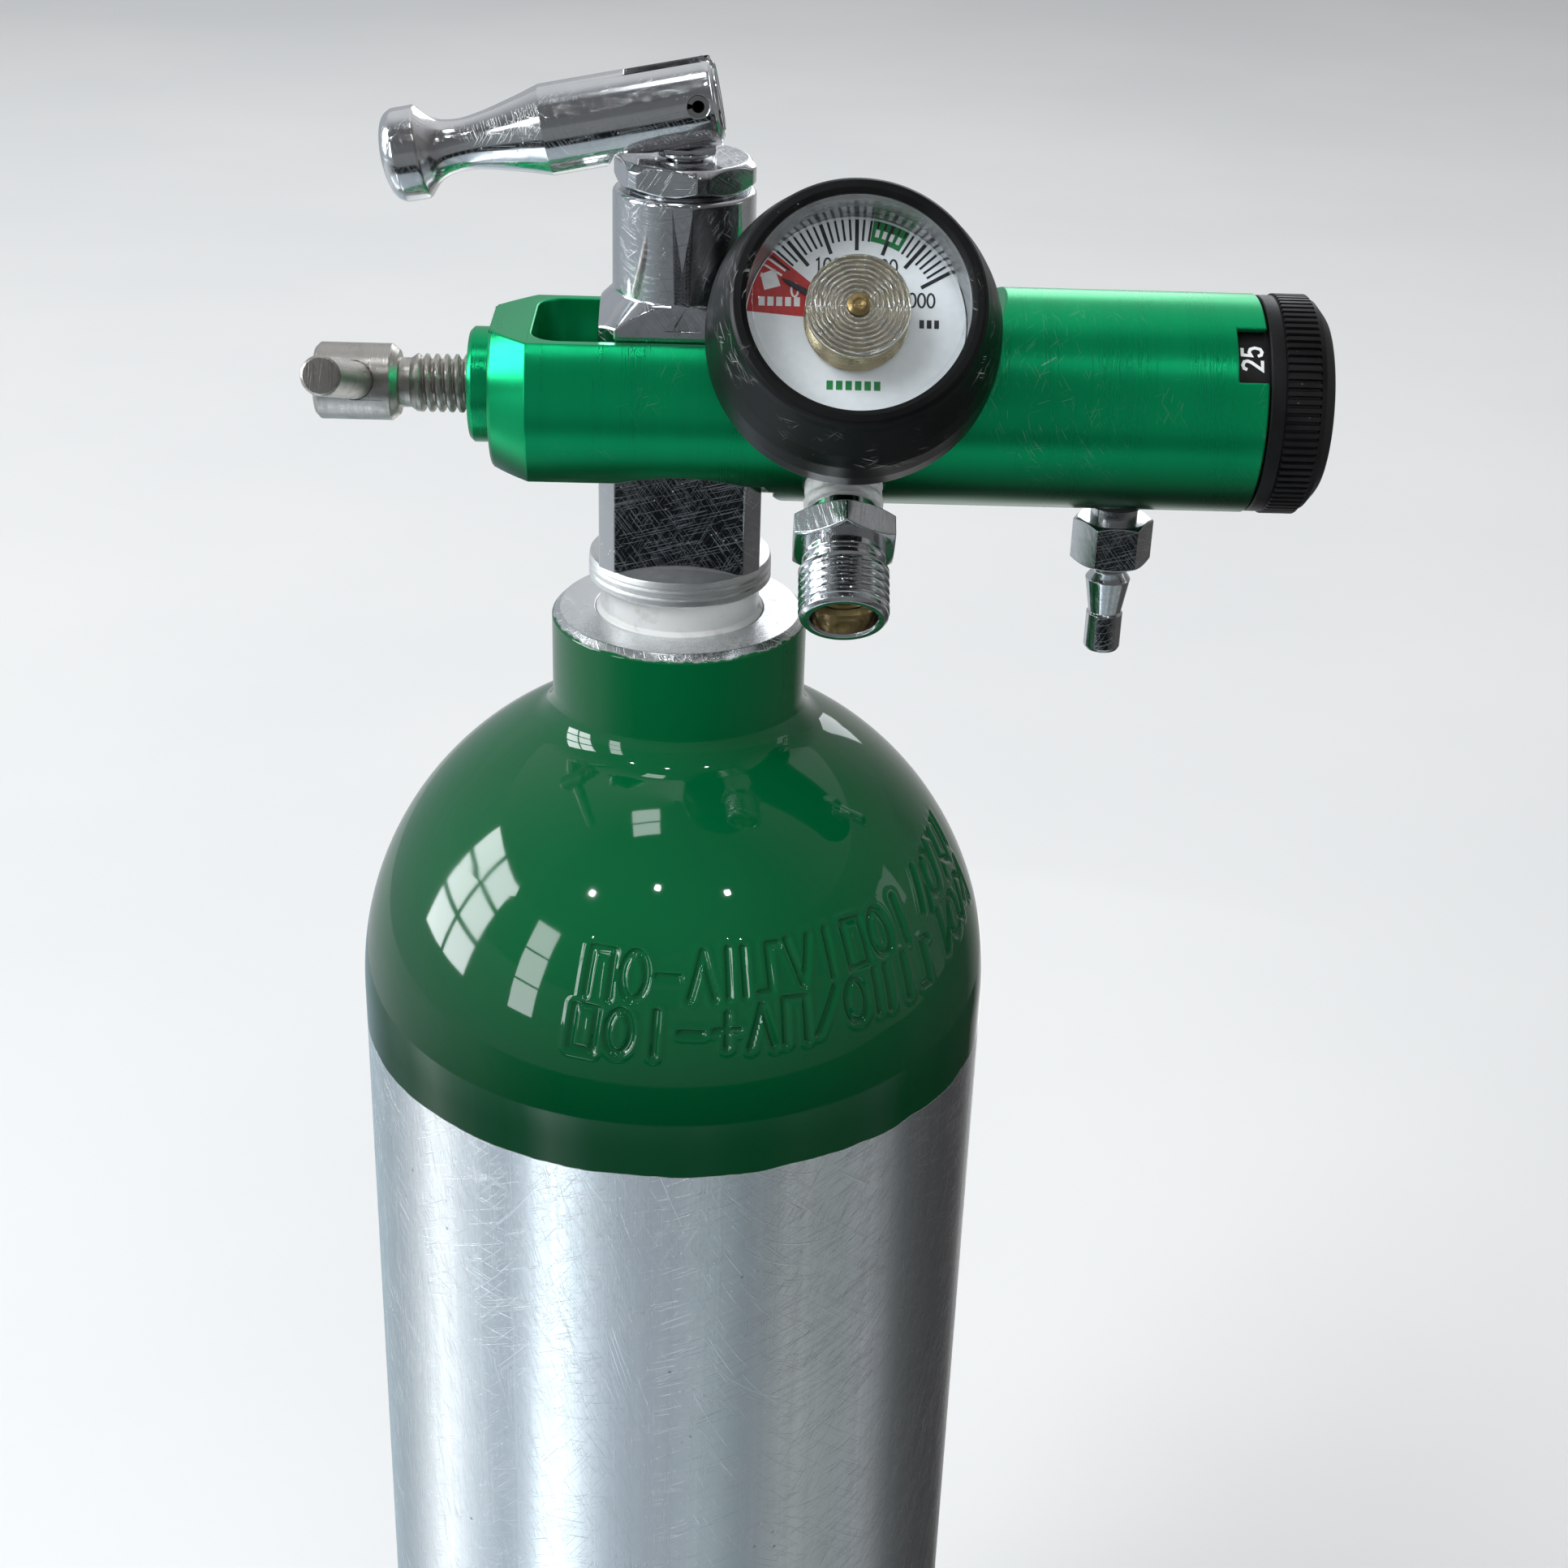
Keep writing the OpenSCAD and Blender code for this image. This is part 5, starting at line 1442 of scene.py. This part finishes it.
def ring_card(name, levels, rows, strength=1.0):
    """A band round the object with a brightness for each azimuth. rows are (radius, height) pairs."""
    steps = 144
    angles = [-180 + 360 * k / steps for k in range(steps + 1)]
    points = [(*(heading(a) * radius)[:2], z) for radius, z in rows for a in angles]
    count = steps + 1
    faces = [
        (r * count + k, r * count + k + 1, (r + 1) * count + k + 1, (r + 1) * count + k)
        for r in range(len(rows) - 1) for k in range(steps)
    ]
    obj = piece_from(name, points, faces)
    colours = obj.data.color_attributes.new("level", "FLOAT_COLOR", "POINT")
    for k in range(len(points)):
        colours.data[k].color = (*level_at(angles[k % count], levels), 1)
    obj.data.materials.append(emission(name + "_glow", strength, attribute="level"))
    only_mirrored(obj)


def window(name, azimuth, elevation, width, height, across=2, down=3, strength=9.0, away=2.4, roll=0.0):
    """Panes of light with dark bars between them, facing the object. Sizes are in metres."""
    out = heading(azimuth, elevation)
    side = Vector((0, 0, 1)).cross(out).normalized()
    up = out.cross(side)
    side, up = side * math.cos(roll) + up * math.sin(roll), up * math.cos(roll) - side * math.sin(roll)
    bar = 0.06 * width
    points, faces = [], []
    for i in range(across):
        for j in range(down):
            x0 = -width / 2 + i * width / across + bar / 2
            x1 = x0 + width / across - bar
            y0 = -height / 2 + j * height / down + bar / 2
            y1 = y0 + height / down - bar
            n = len(points)
            for x, y in ((x0, y0), (x1, y0), (x1, y1), (x0, y1)):
                points.append(MIDST + out * away + side * x + up * y)
            faces.append((n, n + 1, n + 2, n + 3))
    obj = piece_from(name, points, faces)
    obj.data.materials.append(emission(name + "_glow", strength, (0.93, 0.97, 1.0)))
    only_mirrored(obj)


# What a mirror sees round the object, by azimuth in degrees: red, green and blue.
# The near floor's levels were measured by a scratch program from the bottle's reflections in the photo, then
# scaled by another to suit the render. The other lists were chosen.
FLOOR_LEVELS = [
    (-180, 0.99, 1.01, 1.03), (-158, 0.38, 0.47, 0.54), (-143, 0.42, 0.53, 0.60), (-124, 0.35, 0.42, 0.47),
    (-106, 0.58, 0.65, 0.70), (-92, 1.66, 1.76, 1.81), (-82, 0.98, 1.08, 1.16), (-72, 0.56, 0.67, 0.76),
    (-60, 0.36, 0.44, 0.51), (-52, 0.52, 0.62, 0.71), (-43, 2.15, 2.41, 2.57), (-36, 1.51, 1.72, 1.87),
    (-28, 0.58, 0.69, 0.77), (-18, 0.41, 0.48, 0.55), (0, 0.34, 0.39, 0.43), (12, 0.44, 0.53, 0.56),
    (20, 0.26, 0.33, 0.35), (30, 0.21, 0.25, 0.28), (44, 0.37, 0.40, 0.40), (62, 0.26, 0.30, 0.30),
    (78, 0.35, 0.37, 0.39), (90, 0.08, 0.09, 0.09), (110, 0.05, 0.05, 0.05), (140, 0.05, 0.05, 0.05),
    (152, 0.60, 0.60, 0.60), (162, 1.38, 1.38, 1.38), (180, 0.99, 1.01, 1.03),
]
# further out, where the valve's own faces look
FAR_LEVELS = [
    (-180, 0.50, 0.51, 0.52), (-125, 0.62, 0.68, 0.72), (-95, 0.52, 0.56, 0.59), (-72, 0.34, 0.37, 0.39),
    (-56, 0.12, 0.13, 0.14), (-38, 0.02, 0.022, 0.024), (0, 0.006, 0.007, 0.008), (30, 0.008, 0.009, 0.009),
    (60, 0.05, 0.05, 0.05), (95, 0.09, 0.09, 0.09), (130, 0.07, 0.07, 0.07), (158, 0.50, 0.50, 0.50),
    (180, 0.50, 0.51, 0.52),
]
# on the walls, low and high, and on the ceiling
LOW_WALL_LEVELS = [
    (-180, 0.42, 0.44, 0.46), (-140, 0.36, 0.40, 0.44), (-100, 0.45, 0.50, 0.54), (-60, 0.30, 0.34, 0.36),
    (-30, 0.18, 0.20, 0.21), (0, 0.18, 0.19, 0.20), (40, 0.15, 0.155, 0.16), (70, 0.16, 0.165, 0.17),
    (100, 0.24, 0.24, 0.24), (130, 0.18, 0.18, 0.18), (160, 0.50, 0.50, 0.50), (180, 0.42, 0.44, 0.46),
]
HIGH_WALL_LEVELS = [
    (-180, 0.48, 0.50, 0.52), (-140, 0.40, 0.43, 0.46), (-100, 0.38, 0.42, 0.45), (-60, 0.14, 0.16, 0.17),
    (-30, 0.12, 0.13, 0.135), (0, 0.12, 0.125, 0.13), (40, 0.11, 0.11, 0.115), (70, 0.10, 0.10, 0.105),
    (100, 0.18, 0.18, 0.18), (130, 0.22, 0.22, 0.22), (160, 0.50, 0.50, 0.50), (180, 0.48, 0.50, 0.52),
]
CEILING_LEVELS = [
    (-180, 0.66, 0.68, 0.70), (-140, 0.60, 0.62, 0.64), (-100, 0.30, 0.32, 0.34), (-60, 0.11, 0.115, 0.12),
    (0, 0.10, 0.105, 0.11), (60, 0.10, 0.10, 0.10), (100, 0.26, 0.26, 0.27), (140, 0.58, 0.59, 0.60),
    (180, 0.66, 0.68, 0.70),
]


# Where the cards meet: radii round the object's axis, and heights, in metres
FLOOR_START, FLOOR_END, FAR_END, WALL_R = 0.07, 0.68, 1.5, 3.6
CARD_Z, WALL_FOOT, WALL_MIDDLE = 0.002, 0.003, 1.3
CEILING_EDGE = (3.4, 2.6)


def studio():
    floor()
    ring_card("floor_card", FLOOR_LEVELS, [(FLOOR_START, CARD_Z), (FLOOR_END, CARD_Z)])
    ring_card("far_card", FAR_LEVELS, [(FLOOR_END, CARD_Z), (FAR_END, CARD_Z)])
    ring_card("edge_card", LOW_WALL_LEVELS, [(FAR_END, CARD_Z), (WALL_R, CARD_Z)])
    ring_card("low_wall_card", LOW_WALL_LEVELS, [(WALL_R, WALL_FOOT), (WALL_R, WALL_MIDDLE)])
    ring_card("high_wall_card", HIGH_WALL_LEVELS, [(WALL_R, WALL_MIDDLE), CEILING_EDGE])
    ring_card("ceiling_card", CEILING_LEVELS, [CEILING_EDGE, (2.2, 3.4), (0.9, 3.8), (0.05, 3.9)])
    window("window_left", -92, 16, 1.2, 1.5, 2, 3, 11)
    window("window_left_front", -54, 15, 0.45, 1.3, 1, 3, 7)
    window("window_right", 100, 14, 0.5, 0.5, 1, 1, 0.9)
    window("window_back", 165, 20, 1.2, 1.2, 2, 2, 3.0)
    window("skylight", -50, 77, 0.3, 0.34, 1, 2, 6.0, 1.8, math.radians(51))
    # directions worked out by a scratch program from three highlights on the photo's dome
    for azimuth, elevation in ((-44.6, 46.7), (-10.4, 55.9), (31.1, 51.9)):
        window(f"lamp_{int(azimuth) % 360}", azimuth, elevation, 0.075, 0.075, 1, 1, 110)
    for name, place, size, power, tint in (
        ("key", (-1.7, -1.1, 2.6), 1.8, 74, (0.97, 0.99, 1)),
        ("fill", (0.3, -2.3, 1.9), 1.6, 15, (1, 0.99, 0.97)),
        ("back", (-0.6, 2.2, 2.2), 1.6, 16, (1, 1, 1)),
    ):
        data = bpy.data.lights.new(name, "AREA")
        data.size = size
        data.energy = power
        data.color = tint
        lamp = bpy.data.objects.new(name, data)
        lamp.location = place
        lamp.rotation_euler = (MIDST - Vector(place)).to_track_quat("-Z", "Y").to_euler()
        lamp.visible_glossy = False
        bpy.context.scene.collection.objects.link(lamp)
    world = bpy.data.worlds.new("studio")
    world.use_nodes = True
    tree = world.node_tree
    sky = tree.nodes["Background"]
    path = tree.nodes.new("ShaderNodeLightPath")
    level = tree.nodes.new("ShaderNodeMapRange")
    tree.links.new(path.outputs["Is Glossy Ray"], level.inputs["Value"])
    level.inputs["To Min"].default_value = 0.38
    level.inputs["To Max"].default_value = 0.06
    tree.links.new(level.outputs[0], sky.inputs["Strength"])
    sky.inputs["Color"].default_value = (0.95, 0.98, 1.0, 1)
    bpy.context.scene.world = world
    bpy.context.scene.view_settings.view_transform = "Standard"


def camera():
    """The photographer's place: in front, a little right, looking down at 27 degrees."""
    away, height, shift = 0.378724, 0.161245, 0.007336
    pitch, yaw, roll = math.radians(27.20), math.radians(1.7043), math.radians(1.99)
    forward = Vector((math.sin(yaw) * math.cos(pitch), math.cos(yaw) * math.cos(pitch), -math.sin(pitch)))
    right = Vector((math.cos(yaw), -math.sin(yaw), 0))
    up = right.cross(forward)
    across = right * math.cos(roll) + up * math.sin(roll)
    upward = up * math.cos(roll) - right * math.sin(roll)
    data = bpy.data.cameras.new("camera")
    data.lens = 55.97
    data.sensor_width = 36
    data.clip_start = 0.01
    obj = bpy.data.objects.new("camera", data)
    place = Vector((shift, -away, NECK_TOP + height))
    turned = Matrix((across, upward, -forward)).transposed().to_4x4()
    obj.matrix_world = Matrix.Translation(place) @ turned
    bpy.context.scene.collection.objects.link(obj)
    bpy.context.scene.camera = obj


studio()
camera()
